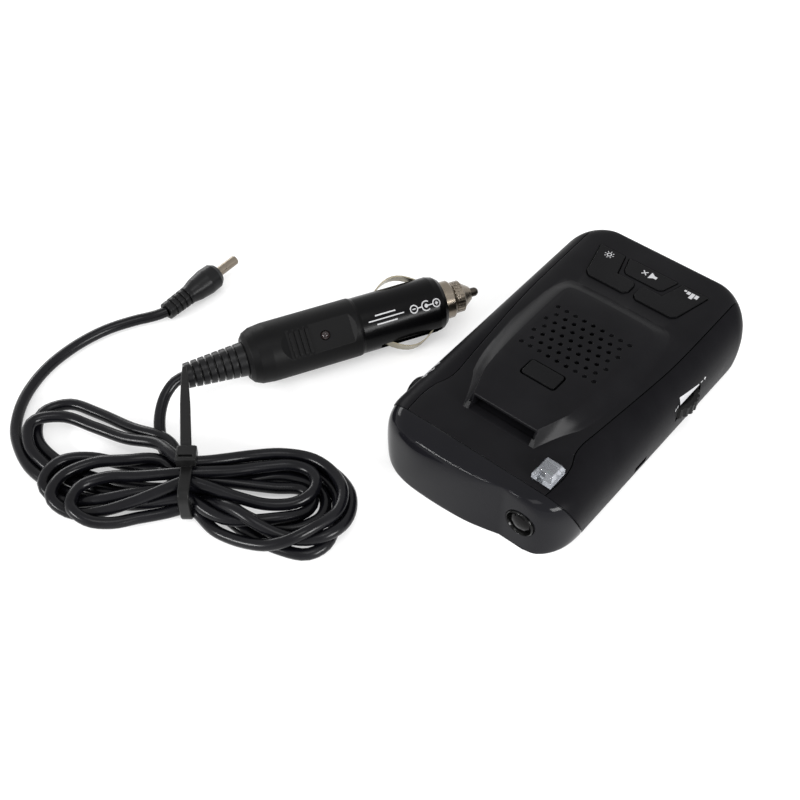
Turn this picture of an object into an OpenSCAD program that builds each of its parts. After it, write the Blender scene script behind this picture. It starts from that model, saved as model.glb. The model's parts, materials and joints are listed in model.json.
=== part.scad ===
// Windscreen radar detector with its coiled-up power cord, as a stripped-down assembly.
// Frame: +Z up, -Y towards the road (glossy nose), +Y towards the driver (keys and display).
// The origin is on the table under the middle of the detector. Units are millimetres.

/* [Case] */
// Widest width of the case
case_width = 72; // [70:0.5:74]
// Distance from the origin to the display end
rear_reach = 60.8; // [60:0.2:62]
// Height of the mounting pad's flat top above the table
pad_height = 28.7; // [28.2:0.1:29.2]
// Height of the crown at mid length
crown_height = 25.3; // [25:0.1:25.8]
// Slope of the top down towards the nose, degrees
top_slope = 1.7; // [1.2:0.1:2]
// Wall thickness of the shells
wall = 1.8; // [1.6:0.1:2]

/* [Controls] */
// Outer radius of the volume wheel
wheel_radius = 9; // [8.6:0.1:9.2]
// Number of teeth on the volume wheel
wheel_teeth = 24; // [18:1:30]
// Pitch of the speaker holes across the pad
grille_pitch = 3.5; // [3.3:0.1:3.6]

/* [Power plug] */
// Radius of the plug's grip
grip_radius = 10.3; // [10:0.1:10.4]
// Length of the plug's body, without the strain relief and the metal end
grip_length = 72; // [70:1:74]
// Heading of the plug as it lies, degrees from +X
plug_heading = 62.5; // [58:0.5:66]
// Roll of the plug about its own axis, degrees
plug_roll = 43.5; // [35:0.5:50]

/* [Cord] */
// Diameter of the cord
cord_diameter = 3.9; // [3.4:0.1:4]

/* [Hidden] */

$fn = 48;
slack = 0.01;
half_width = case_width / 2;
front_reach = 61;
// Each level of the case: height at the origin, and how far it stands in from the widest level
levels = [[0, 2.4], [0.5, 1.6], [1.6, 1], [5, 0.35], [11, 0], [15, 0.35], [18, 1.1],
    [20.4, 2.3], [22.3, 3.9], [23.7, 5.9], [24.6, 8.4], [25.1, 12], [25.3, 20]];
// Right half of the top cover's seam, from the display end to the nose
seam_right = [[29, 63], [29, 46], [28.6, 17], [27.7, 5], [26.2, -10], [24.9, -22], [24.2, -29],
    [24.7, -33], [26.3, -37], [27, -41], [27, -45], [26.2, -54]];
// Front of the nose in plan, from the left corner to the right: bulge, crease, flat sensor face
nose_front = [[-37, -44], [-33.5, -52.5], [-31, -55.5], [-27, -57.6], [-22, -59], [-16, -59.9],
    [-9, -60.2], [-2, -59.8], [5, -58.9], [11, -57.6], [15.2, -56.5], [24, -56.5], [28, -55.5],
    [31, -53.3], [33.5, -50], [37, -43]];
nose_seam_y = -51;
nose_seam_lean = 25;
cover_edge_z = 20.5;

// Mounting pad and bracket slot
pad_top = [[-12, -36], [12, -36], [16.3, -23.5], [17.3, -6], [17.6, 20], [16, 23.5],
    [-16, 23.5], [-17.6, 20], [-17.3, -6], [-16.3, -23.5]];
pad_foot = [[-13.8, -39.5], [13.8, -39.5], [20.5, -23], [23.5, 0], [24, 22], [20.5, 31],
    [-20.5, 31], [-24, 22], [-23.5, 0], [-20.5, -23]];
slot_half = 11.6;
slot_front_y = -36;
slot_back_y = -21.6;
slot_floor_z = 24.2;
slot_roof = 1.2;

// Grille
grille_rows = 7;
grille_row_step = 3.42;
grille_first_y = -8.2;
grille_hole_radius = 0.85;
speaker_y = 2;
speaker_radius = 12;

// Keys in plan; the right key mirrors the left
key_top_z = 27;
key_left_plan = [[-21.4, 49.4], [-17.8, 35.2], [-16.2, 33.7], [-2.6, 33.7], [-1.2, 35.2],
    [-1.2, 38.9], [-2.4, 40.2], [-8.9, 40.2], [-11.5, 49.4]];
key_middle_plan = [[-9.6, 49.4], [-7.6, 43.1], [-6.4, 42.2], [6.4, 42.2], [7.6, 43.1], [9.6, 49.4]];
key_gap = 0.3;
key_stems = [[-13.5, 41], [0, 46], [13.5, 41]];
switch_top_z = 22;

// Release button
button_size = [12.4, 6.4];
button_y = -16;
button_gap = 0.5;
latch_arm_z = 19.6;

// Volume wheel, standing out of the right side
wheel_centre = [29.6, 17];
wheel_z = 10.4;
wheel_thickness = 4.2;

// Power jack on the left side
jack_y = -34;
jack_z = 11;
jack_radius = 1.85;

// Laser lens and sky prism
lens_centre = [22, 11.6];
lens_radius = 4;
prism_centre = [22.7, -44.4];
prism_size = [7, 7.6];

// Fastenings
// Each boss: its place, and how high it reaches under the cover
case_bosses = [[-24.5, 37, 24.4], [24.5, 37, 24.4], [-21, -19.5, 22.9], [21, -19.5, 22.9]];
boss_radius = 3.6;
board_posts = [[-24, -8], [24, -8], [-24, 27], [24, 27]];
screw_radius = 1.25;
screw_clearance = 0.2;

// Boards
board_z = 6.2;
board_thickness = 1.6;
thin_board = 1.2;

// Power plug, drawn along +X and then laid down
plug_origin = [-90.5, -59.5, grip_radius];
fuse_radius = 3.15;
fuse_length = 30;
relief_length = 20.7;
plug_screw_at = 16.5;
plug_led_at = 27;
leaf_start = 47;
leaf_end = 68.5;
leaf_width = 5;
leaf_roll = -12;
leaf_thickness = 0.5;
leaf_bow = 4.4;
leaf_base_radius = 8.6;

// Jack plug, lying nose up by the difference of its own radii
jack_plug_origin = [-133.4, -56.5, 3.6];
jack_plug_heading = 88;
jack_plug_rise = 3.6;

// Hank and its tie
tie_centre = [-69, -107];
tie_heading = 40;
tie_span = 20;
tie_width = 3.6;
tie_gauge = 1.2;
hank_height = 12.6;

// Cord from the power plug's strain relief into the hank
plug_lead_route = [[-100.1, -77.9, 10.3], [-101.4, -81.5, 9.6], [-101.2, -86.2, 7.6],
    [-99, -91.3, 4.8], [-95.6, -95.8, 2.9], [-91.5, -99.3, 2.1], [-87.5, -101.8, 2]];
// Cord from the hank to the jack plug's boot
jack_lead_route = [[-126, -127, 2], [-133, -122.5, 2], [-140.5, -113.5, 2], [-145.5, -101, 2],
    [-146.5, -88, 2], [-144.3, -76, 2], [-139.4, -66, 2.4], [-135, -59.8, 3.2],
    [-133.4, -56.5, 3.6]];

// ---------- shared functions and shapes ----------

function arc(cx, cy, r, from, to, n = 6) =
    [for (i = [0:n]) let (a = from + (to - from) * i / n) [cx + r * cos(a), cy + r * sin(a)]];

// Plan of the case at an inset: square-cut ends with round corners
function plan(inset, rear_share) =
    let (w = half_width - inset,
        y1 = rear_reach - inset * rear_share,
        y0 = -front_reach + inset * 0.3,
        rr = max(2, 12.5 - 0.6 * inset),
        rf = max(2, 17 - 0.6 * inset))
    concat(arc(w - rr, y1 - rr, rr, 0, 90), arc(rr - w, y1 - rr, rr, 90, 180),
        arc(rf - w, y0 + rf, rf, 180, 270), arc(w - rf, y0 + rf, rf, 270, 360));

function mirrored(points) = [for (i = [len(points) - 1:-1:0]) [-points[i][0], points[i][1]]];

function unit(v) = v / norm(v);

// Point at share u between points i and i + 1 of a route, on a smooth curve through all of them
function smooth_point(route, i, u) =
    let (last = len(route) - 1,
        a = route[max(0, i - 1)],
        b = route[i],
        c = route[min(last, i + 1)],
        d = route[min(last, i + 2)])
    0.5 * (2 * b + (c - a) * u + (2 * a - 5 * b + 4 * c - d) * u * u
        + (3 * b - a - 3 * c + d) * u * u * u);

function smooth_route(route, steps) =
    concat([for (i = [0:len(route) - 2]) for (k = [0:steps - 1]) smooth_point(route, i, k / steps)],
        [route[len(route) - 1]]);

// Round tube swept along a path that never runs straight up
module tube(path, radius, sides) {
    last = len(path) - 1;
    rings = [for (i = [0:last])
        let (t = unit(path[min(last, i + 1)] - path[max(0, i - 1)]),
            a = unit(cross(t, [0, 0, 1])),
            b = cross(t, a))
        for (k = [0:sides - 1]) path[i] + radius * (a * cos(360 * k / sides) + b * sin(360 * k / sides))];
    caps = [[for (k = [0:sides - 1]) k], [for (k = [sides - 1:-1:0]) last * sides + k]];
    walls = [for (i = [0:last - 1]) for (k = [0:sides - 1])
        let (n = (k + 1) % sides)
        each [[i * sides + k, (i + 1) * sides + k, (i + 1) * sides + n],
            [i * sides + k, (i + 1) * sides + n, i * sides + n]]];
    polyhedron(points = rings, faces = concat(caps, walls));
}

function helix(radius, height, turns, per_turn = 14) =
    [for (i = [0:turns * per_turn])
        let (a = 360 * i / per_turn)
        [radius * cos(a), radius * sin(a), height * i / (turns * per_turn)]];

// Outer form of the case, one wall smaller when inner is true
module envelope(inner = false) {
    shrink = inner ? wall : 0;
    squeeze = inner ? (crown_height - 2 * wall) / crown_height : 1;
    hull()
        for (level = levels) {
            z = shrink + level[0] * squeeze * crown_height / 25.3;
            translate([0, 0, z])
                rotate([top_slope * level[0] / 25.3, 0, 0])
                    linear_extrude(slack)
                        polygon(plan(level[1] + shrink, level[0] > 11 ? 0.22 : 0.6));
        }
}

// Everything in front of the nose seam, which leans back towards the table
module nose_space(gap = 0) {
    translate([0, nose_seam_y + gap, 23.5])
        rotate([nose_seam_lean, 0, 0])
            translate([-50, -40, -40])
                cube([100, 40, 60]);
}

module nose_plan(back = -20) {
    polygon(concat(nose_front, [[37, back], [-37, back]]));
}

module seam_plan(grow = 0) {
    offset(delta = grow)
        polygon(concat(seam_right, mirrored(seam_right)));
}

module pad(drop = 0, shrink = 0) {
    hull() {
        translate([0, 0, pad_height - drop - slack])
            linear_extrude(slack)
                offset(delta = -shrink)
                    polygon(pad_top);
        translate([0, 0, 23.6 - drop])
            linear_extrude(slack)
                offset(delta = -shrink)
                    polygon(pad_foot);
    }
}

module rounded_block(size, height, radius) {
    linear_extrude(height)
        offset(radius)
            square([size[0] - 2 * radius, size[1] - 2 * radius], center = true);
}

module box(low, high) {
    translate(low)
        cube(high - low);
}

module at_bosses() {
    for (p = case_bosses)
        translate([p[0], p[1], 0])
            children();
}

// Posts under the main board
module at_posts() {
    for (p = board_posts)
        translate([p[0], p[1], 0])
            children();
}

// ---------- case ----------

module case_body() {
    color([0.09, 0.09, 0.1])
    difference() {
        union() {
            difference() {
                envelope();
                envelope(inner = true);
                translate([0, 0, cover_edge_z])
                    linear_extrude(20)
                        seam_plan();
                box([-26, 50, 7], [26, 70, 22]);
            }
            at_bosses()
                translate([0, 0, 1])
                    cylinder(r = boss_radius + 0.4, h = 7.9);
            translate([0, button_y, 1])
                cylinder(r = 3.4, h = 11.4);
            translate([0, button_y, 12])
                cylinder(r = 1.3, h = 2.4);
            translate([22.7, -42.6, 1])
                cylinder(r = 1.6, h = 16.58);
            at_posts()
                translate([0, 0, 1])
                    cylinder(r = 2.6, h = board_z - 1);
            translate([-half_width + 0.2, jack_y, jack_z])
                rotate([0, -90, 0])
                    cylinder(r1 = 5.6, r2 = 4.4, h = 1.7);
        }
        nose_space(0.05);
        at_bosses() {
            translate([0, 0, -1])
                cylinder(r = 2.9, h = 3.6);
            cylinder(r = screw_radius + screw_clearance, h = 20);
        }
        at_posts()
            translate([0, 0, 2])
                cylinder(r = 0.95, h = 10);
        wheel_slot();
        translate([-half_width + 4, jack_y, jack_z])
            rotate([0, -90, 0])
                cylinder(r = 3.4, h = 10);
        box([half_width - 1.4, -12.5, 4.2], [half_width + 2, -6, 7]);
        translate([0, 12, -1])
            linear_extrude(1.5)
                square([38.4, 26.4], center = true);
    }
}

module wheel_slot() {
    translate([wheel_centre[0], wheel_centre[1], wheel_z - 0.6])
        cylinder(r = wheel_radius + 0.8, h = wheel_thickness + 1.2);
}

module top_cover() {
    color([0.1, 0.1, 0.11])
    difference() {
        union() {
            intersection() {
                difference() {
                    envelope();
                    envelope(inner = true);
                }
                translate([0, 0, cover_edge_z + 0.05])
                    linear_extrude(20)
                        seam_plan(-0.12);
            }
            intersection() {
                pad();
                box([-30, -50, 20.6], [30, 40, 40]);
            }
            for (p = case_bosses)
                translate([p[0], p[1], 9])
                    cylinder(r = boss_radius - 0.6, h = p[2] - 9);
        }
        nose_space(0.12);
        pad_hollow();
        bracket_slot();
        grille();
        key_openings();
        translate([0, button_y, 15])
            rounded_block([button_size[0] + 2 * button_gap, button_size[1] + 2 * button_gap], 20, 1.2);
        box([-3.4, -29.4, 15], [3.4, -25.6, 24.6]);
        at_bosses()
            cylinder(r = screw_radius + 0.05, h = 17);
        translate([prism_centre[0], prism_centre[1], 20])
            linear_extrude(10)
                square([prism_size[0] + 0.1, prism_size[1] + 0.1], center = true);
    }
}

// Room under the pad for the speaker and, behind the slot, for the release button
module pad_hollow() {
    translate([0, speaker_y, 15])
        cylinder(r = speaker_radius + 0.3, h = pad_height - 1.4 - 15);
    translate([-14, 16, 18])
        cube([28, 6, pad_height - 2 - 18]);
}

module bracket_slot() {
    box([-slot_half, slot_front_y, slot_floor_z - 0.25],
        [slot_half, slot_back_y, pad_height - slot_roof]);
    box([-slot_half, slot_front_y - 10, slot_floor_z], [slot_half, slot_front_y, 40]);
}

// Rows of nine and eight holes by turns; the outer ones are only dimples
module grille() {
    for (row = [0:grille_rows - 1]) {
        count = row % 2 == 0 ? 9 : 8;
        y = grille_first_y + row * grille_row_step;
        for (i = [0:count - 1]) {
            x = (i - (count - 1) / 2) * grille_pitch;
            open = norm([x, y - speaker_y]) < speaker_radius - 0.5;
            translate([x, y, pad_height - (open ? 3 : 0.7)])
                cylinder(r = grille_hole_radius, h = 4, $fn = 16);
        }
    }
}

module key_openings() {
    for (plan = [key_left_plan, key_middle_plan, mirrored(key_left_plan)])
        translate([0, 0, 20])
            linear_extrude(10)
                offset(delta = key_gap)
                    polygon(plan);
}

module nose_cover() {
    color([0.05, 0.05, 0.06])
    difference() {
        intersection() {
            envelope();
            translate([0, 0, -1])
                linear_extrude(40)
                    nose_plan();
            nose_space(0);
        }
        intersection() {
            envelope(inner = true);
            translate([0, 0, -1])
                linear_extrude(40)
                    offset(delta = -wall)
                        nose_plan(0);
        }
        translate([lens_centre[0], -50, lens_centre[1]])
            rotate([90, 0, 0])
                cylinder(r = lens_radius + 1, h = 20);
        translate([lens_centre[0], -50, lens_centre[1]])
            rotate([90, 0, 0])
                cylinder(r = lens_radius + 1.85, h = 4.6);
    }
}

module lens_bezel() {
    color([0.12, 0.12, 0.13])
    translate([lens_centre[0], -56.6, lens_centre[1]])
        rotate([90, 0, 0])
            rotate_extrude()
                polygon([[lens_radius + 0.05, -3], [lens_radius + 1.8, -3], [lens_radius + 1.8, -2.05],
                    [lens_radius + 0.95, -2.05], [lens_radius + 0.95, 0], [lens_radius + 0.6, 0.35],
                    [lens_radius + 0.05, -1]]);
}

module laser_lens() {
    color([0.03, 0.03, 0.04])
    translate([lens_centre[0], -56.6, lens_centre[1]])
        rotate([90, 0, 0])
            rotate_extrude()
                polygon(concat([[0, -3]], [[lens_radius, -3], [lens_radius, -1.4]],
                    [for (a = [15:15:90]) [lens_radius * cos(a), -1.4 + 1.9 * sin(a)]]));
}

// Clear block that gathers laser light from all round, with a notch in its front
module sky_prism() {
    color([0.85, 0.9, 0.95, 0.5])
    translate([prism_centre[0], prism_centre[1], 0])
        difference() {
            union() {
                translate([0, 0, 22.4])
                    rounded_block(prism_size, 1.2, 0.5);
                hull() {
                    translate([0, 0, 23.5])
                        linear_extrude(slack)
                            square(prism_size, center = true);
                    translate([0, 0, 25.6])
                        linear_extrude(slack)
                            square(prism_size, center = true);
                    translate([0, 0.5, 27.4])
                        linear_extrude(slack)
                            square([prism_size[0] - 2, prism_size[1] - 2.6], center = true);
                }
            }
            box([-1.6, -5, 23.7], [0.6, -2.2, 28]);
        }
}

module display_window() {
    color([0.16, 0.02, 0.03, 0.6])
    difference() {
        union() {
            box([-25.9, rear_reach - 1.7, 7.1], [25.9, rear_reach - 0.3, cover_edge_z - 0.1]);
            box([-24.4, rear_reach - 3, 8.6], [24.4, rear_reach - 1.7, cover_edge_z - 1.6]);
        }
        translate([0, rear_reach + 0.2, 14])
            box([-22, -0.7, -4], [22, 1, 4]);
    }
}

module rating_plate() {
    color([0.75, 0.76, 0.78])
    translate([0, 12, 0.05])
        rounded_block([38, 26], 0.4, 1.5);
}

module case_screws() {
    color([0.6, 0.6, 0.62])
    at_bosses()
        screw(2.6, screw_radius, 13, 1.6, 1.0);
}

// Pan-head screw driven upwards: its head ends at the height top, and its shank starts there
module screw(head_radius, shank_radius, length, head_height, low) {
    difference() {
        union() {
            translate([0, 0, low])
                cylinder(r = head_radius, h = head_height);
            translate([0, 0, low + head_height - slack])
                cylinder(r = shank_radius, h = length);
        }
        for (a = [0, 90])
            rotate([0, 0, a])
                translate([-head_radius * 0.6, -0.3, low - 1])
                    cube([head_radius * 1.2, 0.6, 1.7]);
    }
}

// ---------- controls ----------

// One key: a cap, a flange under the cover that stops it lifting out, and a stem to its switch
module key(plan, stem) {
    translate([0, 0, 24])
        linear_extrude(key_top_z - 24)
            polygon(plan);
    translate([0, 0, 23.4])
        linear_extrude(0.7)
            offset(delta = 0.6)
                polygon(plan);
    translate([stem[0], stem[1], switch_top_z - 0.7])
        cylinder(r = 1.6, h = 23.5 - switch_top_z + 0.7);
}

module key_left() {
    color([0.1, 0.1, 0.11])
    key(key_left_plan, key_stems[0]);
}

module key_middle() {
    color([0.1, 0.1, 0.11])
    key(key_middle_plan, key_stems[1]);
}

module key_right() {
    color([0.1, 0.1, 0.11])
    key(mirrored(key_left_plan), key_stems[2]);
}

// Button with an arm that runs forward under the slot and ends in the tooth that holds the bracket
module release_button() {
    color([0.1, 0.1, 0.11])
    union() {
        translate([0, button_y, latch_arm_z])
            rounded_block(button_size, pad_height + 0.3 - latch_arm_z, 0.9);
        box([-2.8, -29, latch_arm_z], [2.8, button_y, latch_arm_z + 1.6]);
        box([-2.8, -29, latch_arm_z], [2.8, -26, slot_floor_z + 1.4]);
        translate([0, button_y, latch_arm_z - 2])
            cylinder(r = 1.3, h = 2.2);
    }
}

module release_spring() {
    color([0.7, 0.7, 0.72])
    translate([0, button_y, 12.65])
        tube(helix(2.2, latch_arm_z - 12.65 - 0.27, 5), 0.25, 6);
}

module volume_wheel() {
    color([0.06, 0.06, 0.06])
    translate([wheel_centre[0], wheel_centre[1], wheel_z])
        difference() {
            cylinder(r = wheel_radius, h = wheel_thickness);
            for (i = [0:wheel_teeth - 1])
                rotate([0, 0, 360 * i / wheel_teeth])
                    translate([wheel_radius + 0.3, 0, -1])
                        cylinder(r = 0.85, h = wheel_thickness + 2, $fn = 6);
            translate([0, 0, -1])
                cylinder(r = 2.05, h = wheel_thickness + 2);
            translate([0, 0, wheel_thickness - 0.6])
                difference() {
                    cylinder(r = wheel_radius - 2, h = 1);
                    cylinder(r = 3.4, h = 1);
                }
        }
}

module volume_pot() {
    color([0.2, 0.25, 0.3])
    translate([wheel_centre[0] - 0.4, wheel_centre[1], 0]) {
        box([-7.5, -6.5, board_z + board_thickness], [3.4, 6.5, wheel_z - 0.5]);
        translate([0.4, 0, wheel_z - 0.5])
            cylinder(r = 2, h = wheel_thickness + 0.8);
    }
}

// ---------- electronics ----------

module dc_jack() {
    color([0.07, 0.07, 0.07])
    translate([-half_width - 1.2, jack_y, jack_z])
        rotate([0, 90, 0])
            difference() {
                union() {
                    cylinder(r = 3.3, h = 12);
                    translate([-4.5, -5, 4.2])
                        cube([9, 10, 8]);
                }
                translate([0, 0, -1])
                    cylinder(r = jack_radius, h = 10);
                translate([0, 0, 5])
                    cylinder(r = 0.66, h = 10);
            }
}

module dc_jack_pin() {
    color([0.75, 0.76, 0.78])
    translate([-half_width + 1, jack_y, jack_z])
        rotate([0, 90, 0])
            cylinder(r = 0.65, h = 11, $fn = 24);
}

module main_board() {
    color([0.05, 0.3, 0.12])
    difference() {
        translate([0, 17, board_z])
            rounded_block([61, 68], board_thickness, 2);
        at_bosses()
            cylinder(r = boss_radius + 0.8, h = 20);
        at_posts()
            cylinder(r = 1.1, h = 20);
        translate([0, button_y, 0])
            cylinder(r = 4, h = 20);
    }
}

module board_chips() {
    color([0.12, 0.12, 0.13]) {
        top = board_z + board_thickness;
        box([-8, 14, top], [4, 26, top + 1.4]);
        box([-20, 8, top], [-13, 18, top + 1.6]);
        box([-20, 30, top], [-12, 35, top + 1.2]);
        for (i = [0:3])
            translate([10 + 5 * (i % 2), 30 + 7 * floor(i / 2), top])
                cylinder(r = 2, h = 5.4);
        for (i = [0:5])
            box([-6 + 3 * i, 4, top], [-4.6 + 3 * i, 7, top + 1]);
    }
}

// Die-cast microwave horn that looks forwards, open at its mouth
module horn_antenna() {
    color([0.66, 0.67, 0.69])
    translate([-8, 0, 0])
        difference() {
            union() {
                hull() {
                    box([-15, -53, wall + slack], [15, -51, 17]);
                    box([-7, -36.5, 4], [7, -36, 14]);
                }
                box([-12, -36.4, wall + slack], [12, -25, 14]);
            }
            hull() {
                box([-13.6, -54, 4.4], [13.6, -52.9, 15.6]);
                box([-4, -37, 7], [4, -35, 11]);
            }
            box([-10.4, -33.6, 4.6], [10.4, -26.6, 15]);
        }
}

module horn_lid() {
    color([0.6, 0.6, 0.62])
    box([-20, -35.8, 14.02], [4, -25.2, 14.9]);
}

module front_sensor() {
    color([0.1, 0.35, 0.15])
    difference() {
        union() {
            box([16, -51.4, wall + slack], [28, -50.2, 17.6]);
            translate([lens_centre[0], -51.3, lens_centre[1]])
                rotate([90, 0, 0])
                    cylinder(r = 2.5, h = 1.9);
        }
        translate([lens_centre[0], -52.4, lens_centre[1]])
            rotate([90, 0, 0])
                cylinder(r = 1.6, h = 2);
    }
}

module sky_sensor() {
    color([0.1, 0.35, 0.15]) {
        box([18.6, -47.6, 17.6], [26.8, -41.2, 18.8]);
        translate([prism_centre[0], prism_centre[1], 18.7])
            cylinder(r = 1.7, h = 2.9);
    }
}

module speaker_frame() {
    color([0.45, 0.45, 0.47])
    translate([0, speaker_y, 0])
        rotate_extrude()
            polygon([[6.2, 21.4], [8.4, 21.4], [11.9, 25.2], [11.9, 26.5], [10.8, 26.5],
                [10.8, 25.6], [8, 22.4], [6.2, 22.4]]);
}

module speaker_cone() {
    color([0.16, 0.15, 0.14])
    translate([0, speaker_y, 0])
        rotate_extrude()
            polygon([[0, 24.3], [2.6, 23.6], [4.5, 23.2], [9.6, 25.7], [10.8, 25.7], [10.8, 26.1],
                [9.4, 26.2], [4.6, 23.7], [2.8, 24.1], [0, 24.8]]);
}

module speaker_magnet() {
    color([0.35, 0.35, 0.37])
    translate([0, speaker_y, 0])
        difference() {
            translate([0, 0, 18.6])
                cylinder(r = 7, h = 2.8);
            translate([0, 0, 18])
                cylinder(r = 1.2, h = 5);
        }
}

module speaker_gasket() {
    color([0.14, 0.14, 0.14])
    translate([0, speaker_y, 26.5])
        difference() {
            cylinder(r = 11.9, h = pad_height - 1.4 - 26.5);
            translate([0, 0, -1])
                cylinder(r = 10.6, h = 4);
        }
}

module key_board() {
    color([0.05, 0.3, 0.12])
    difference() {
        union() {
            box([-21, 35, switch_top_z - 4.6], [21, 52, switch_top_z - 3.4]);
            box([-9, 48, board_z + board_thickness + slack], [9, 50.4, switch_top_z - 4]);
        }
        for (x = [-18.6, 18.6])
            translate([x, 50, 10])
                cylinder(r = 0.9, h = 20);
    }
}

module key_switches() {
    color([0.14, 0.14, 0.15])
    for (stem = key_stems)
        translate([stem[0], stem[1], 0])
            difference() {
                translate([-3, -3, switch_top_z - 3.4])
                    cube([6, 6, 3.4]);
                translate([0, 0, switch_top_z - 1.4])
                    cylinder(r = 1.66, h = 3);
            }
}

module display_board() {
    color([0.05, 0.3, 0.12])
    box([-24, 53.4, 8.2], [24, 53.4 + thin_board, 19]);
}

// Numeral block in the middle and a row of signal bars each side of it
module display_lamps() {
    color([0.5, 0.05, 0.04]) {
        y0 = 53.4 + thin_board;
        box([-5, y0, 9.6], [5, y0 + 2.6, 18]);
        for (side = [-1, 1])
            for (i = [0:5])
                translate([side * (8 + 2.6 * i), y0 + 1, 13.8])
                    cube([1.6, 2, 6], center = true);
    }
}

module board_screws() {
    color([0.6, 0.6, 0.62])
    at_posts()
            translate([0, 0, board_z + board_thickness]) {
                cylinder(r = 2, h = 1.3);
                translate([0, 0, -5])
                    cylinder(r = 0.9, h = 5 + slack);
            }
}

// ---------- power plug ----------

// Lays a piece drawn along +X, recess up, where the plug lies on the table
module lay_plug() {
    translate(plug_origin)
        rotate([0, 0, plug_heading])
            rotate([plug_roll, 0, 0])
                children();
}

// Turns a radius-against-length profile about the plug's axis
module turned(profile) {
    rotate([0, 90, 0])
        rotate_extrude()
            polygon([for (p = profile) [p[1], p[0]]]);
}

module plug_solid() {
    turned([[0, 0], [0, 7.2], [1.2, 8.7], [3.6, 9.8], [8, grip_radius], [39, grip_radius],
        [40.4, 9.9], [68.4, 9.9], [70.6, 9.3], [grip_length, 8.2], [grip_length, 0]]);
}

module plug_shell() {
    difference() {
        plug_solid();
        turned([[2.6, 0], [2.6, 5], [6, 8.2], [40, 8.2], [44, 7.9], [67, 7.9], [67, 0]]);
        turned([[-1, 0], [-1, 4.2], [3, 4.2], [3, 0]]);
        turned([[66, 0], [66, 4.4], [grip_length + 1, 4.4], [grip_length + 1, 0]]);
        rotate([leaf_roll, 0, 0])
            for (side = [-1, 1])
                translate([leaf_start - 0.8, side * 9 - 4.7, -leaf_width / 2 - 0.3])
                    cube([leaf_end - leaf_start + 1.6, 9.4, leaf_width + 0.6]);
    }
}

module plug_shell_upper() {
    color([0.08, 0.08, 0.09])
    lay_plug()
        difference() {
            union() {
                intersection() {
                    plug_shell();
                    box([-2, -12, 0.01], [80, 12, 12]);
                }
                translate([plug_screw_at, 0, -1])
                    cylinder(r = 2.8, h = 9.6);
            }
            thumb_recess();
            translate([plug_led_at, 0, 5])
                cylinder(r = 1.65, h = 10);
            translate([plug_screw_at, 0, -2])
                cylinder(r = 0.95, h = 6);
        }
}

// Shallow flat in the top of the grip, sloped at both ends, with ribs left across its rear end
module thumb_recess() {
    floor_at = grip_radius - 1.3;
    difference() {
        rotate([90, 0, 0])
            linear_extrude(14, center = true)
                polygon([[10.2, 12], [11.2, grip_radius], [14, floor_at], [36.4, floor_at],
                    [38.2, grip_radius], [38.8, 12]]);
        for (i = [0:3])
            translate([15 + 1.9 * i, -7, floor_at - 1])
                cube([1.1, 14, 1.5]);
    }
}

module plug_shell_lower() {
    color([0.08, 0.08, 0.09])
    lay_plug()
        difference() {
            union() {
                intersection() {
                    plug_shell();
                    box([-2, -12, -12], [80, 12, -0.01]);
                }
                translate([plug_screw_at, 0, -9.6])
                    cylinder(r = 3.6, h = 8.5);
            }
            translate([plug_screw_at, 0, -12])
                cylinder(r = 2.5, h = 6);
            translate([plug_screw_at, 0, -12])
                cylinder(r = 1.2, h = 20);
        }
}

module plug_screw() {
    color([0.6, 0.6, 0.62])
    lay_plug()
        translate([plug_screw_at, 0, -7.8])
            difference() {
                union() {
                    cylinder(r = 2.3, h = 1.8);
                    cylinder(r = 0.9, h = 8.4);
                }
                for (a = [0, 90])
                    rotate([0, 0, a])
                        translate([-1.4, -0.3, -1])
                            cube([2.8, 0.6, 1.8]);
            }
}

module plug_led() {
    color([0.5, 0.1, 0.1, 0.7])
    lay_plug()
        translate([plug_led_at, 0, 5.6])
            rotate_extrude()
                polygon(concat([[0, 0], [2.2, 0], [2.2, 0.8], [1.55, 0.8]],
                    [for (a = [0:15:90]) [1.55 * cos(a), 3.2 + 1.5 * sin(a)]]));
}

module plug_board() {
    color([0.05, 0.3, 0.12])
    lay_plug()
        box([21, -5.6, 4.4], [37, 5.6, 5.6]);
}

module plug_collar() {
    color([0.8, 0.78, 0.72])
    lay_plug()
        turned([[67.4, fuse_radius + 0.25], [67.4, 4.3], [grip_length, 4.3], [grip_length, 6.7],
            [75.6, 6.7], [76.2, 6.1], [76.2, fuse_radius + 0.25]]);
}

module fuse_washer() {
    color([0.85, 0.82, 0.7])
    lay_plug()
        turned([[76.22, 3.5], [76.22, 5], [76.6, 5], [76.6, 3.5]]);
}

// Knurled screw cap that holds the contact tip in
module fuse_cap() {
    color([0.82, 0.8, 0.74])
    lay_plug()
        difference() {
            turned([[76.62, 3.5], [76.62, 5.3], [77, 5.6], [79.8, 5.6], [80.3, 4.7], [83.4, 2.5],
                [83.4, 1.65], [81.2, 1.65], [81.2, 3.5]]);
            for (i = [0:23])
                rotate([15 * i, 0, 0])
                    translate([76, -0.2, 5.3])
                        cube([4, 0.4, 1]);
        }
}

module contact_tip() {
    color([0.45, 0.43, 0.4])
    lay_plug()
        turned(concat([[78.4, 0], [78.4, 3.1], [81.1, 3.1], [81.1, 1.58]],
            [for (a = [0:15:90]) [85.2 + 1.58 * sin(a), 1.58 * cos(a)]]));
}

module plug_fuse() {
    color([0.75, 0.78, 0.8])
    lay_plug()
        turned([[78.35 - fuse_length, 0], [78.35 - fuse_length, fuse_radius],
            [54.4, fuse_radius], [54.4, fuse_radius - 0.2], [72.4, fuse_radius - 0.2],
            [72.4, fuse_radius], [78.35, fuse_radius], [78.35, 0]]);
}

module fuse_spring() {
    color([0.7, 0.7, 0.72])
    lay_plug()
        translate([38.3, 0, 0])
            rotate([0, 90, 0])
                tube(helix(2.5, 9.5, 5), 0.28, 6);
}

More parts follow.
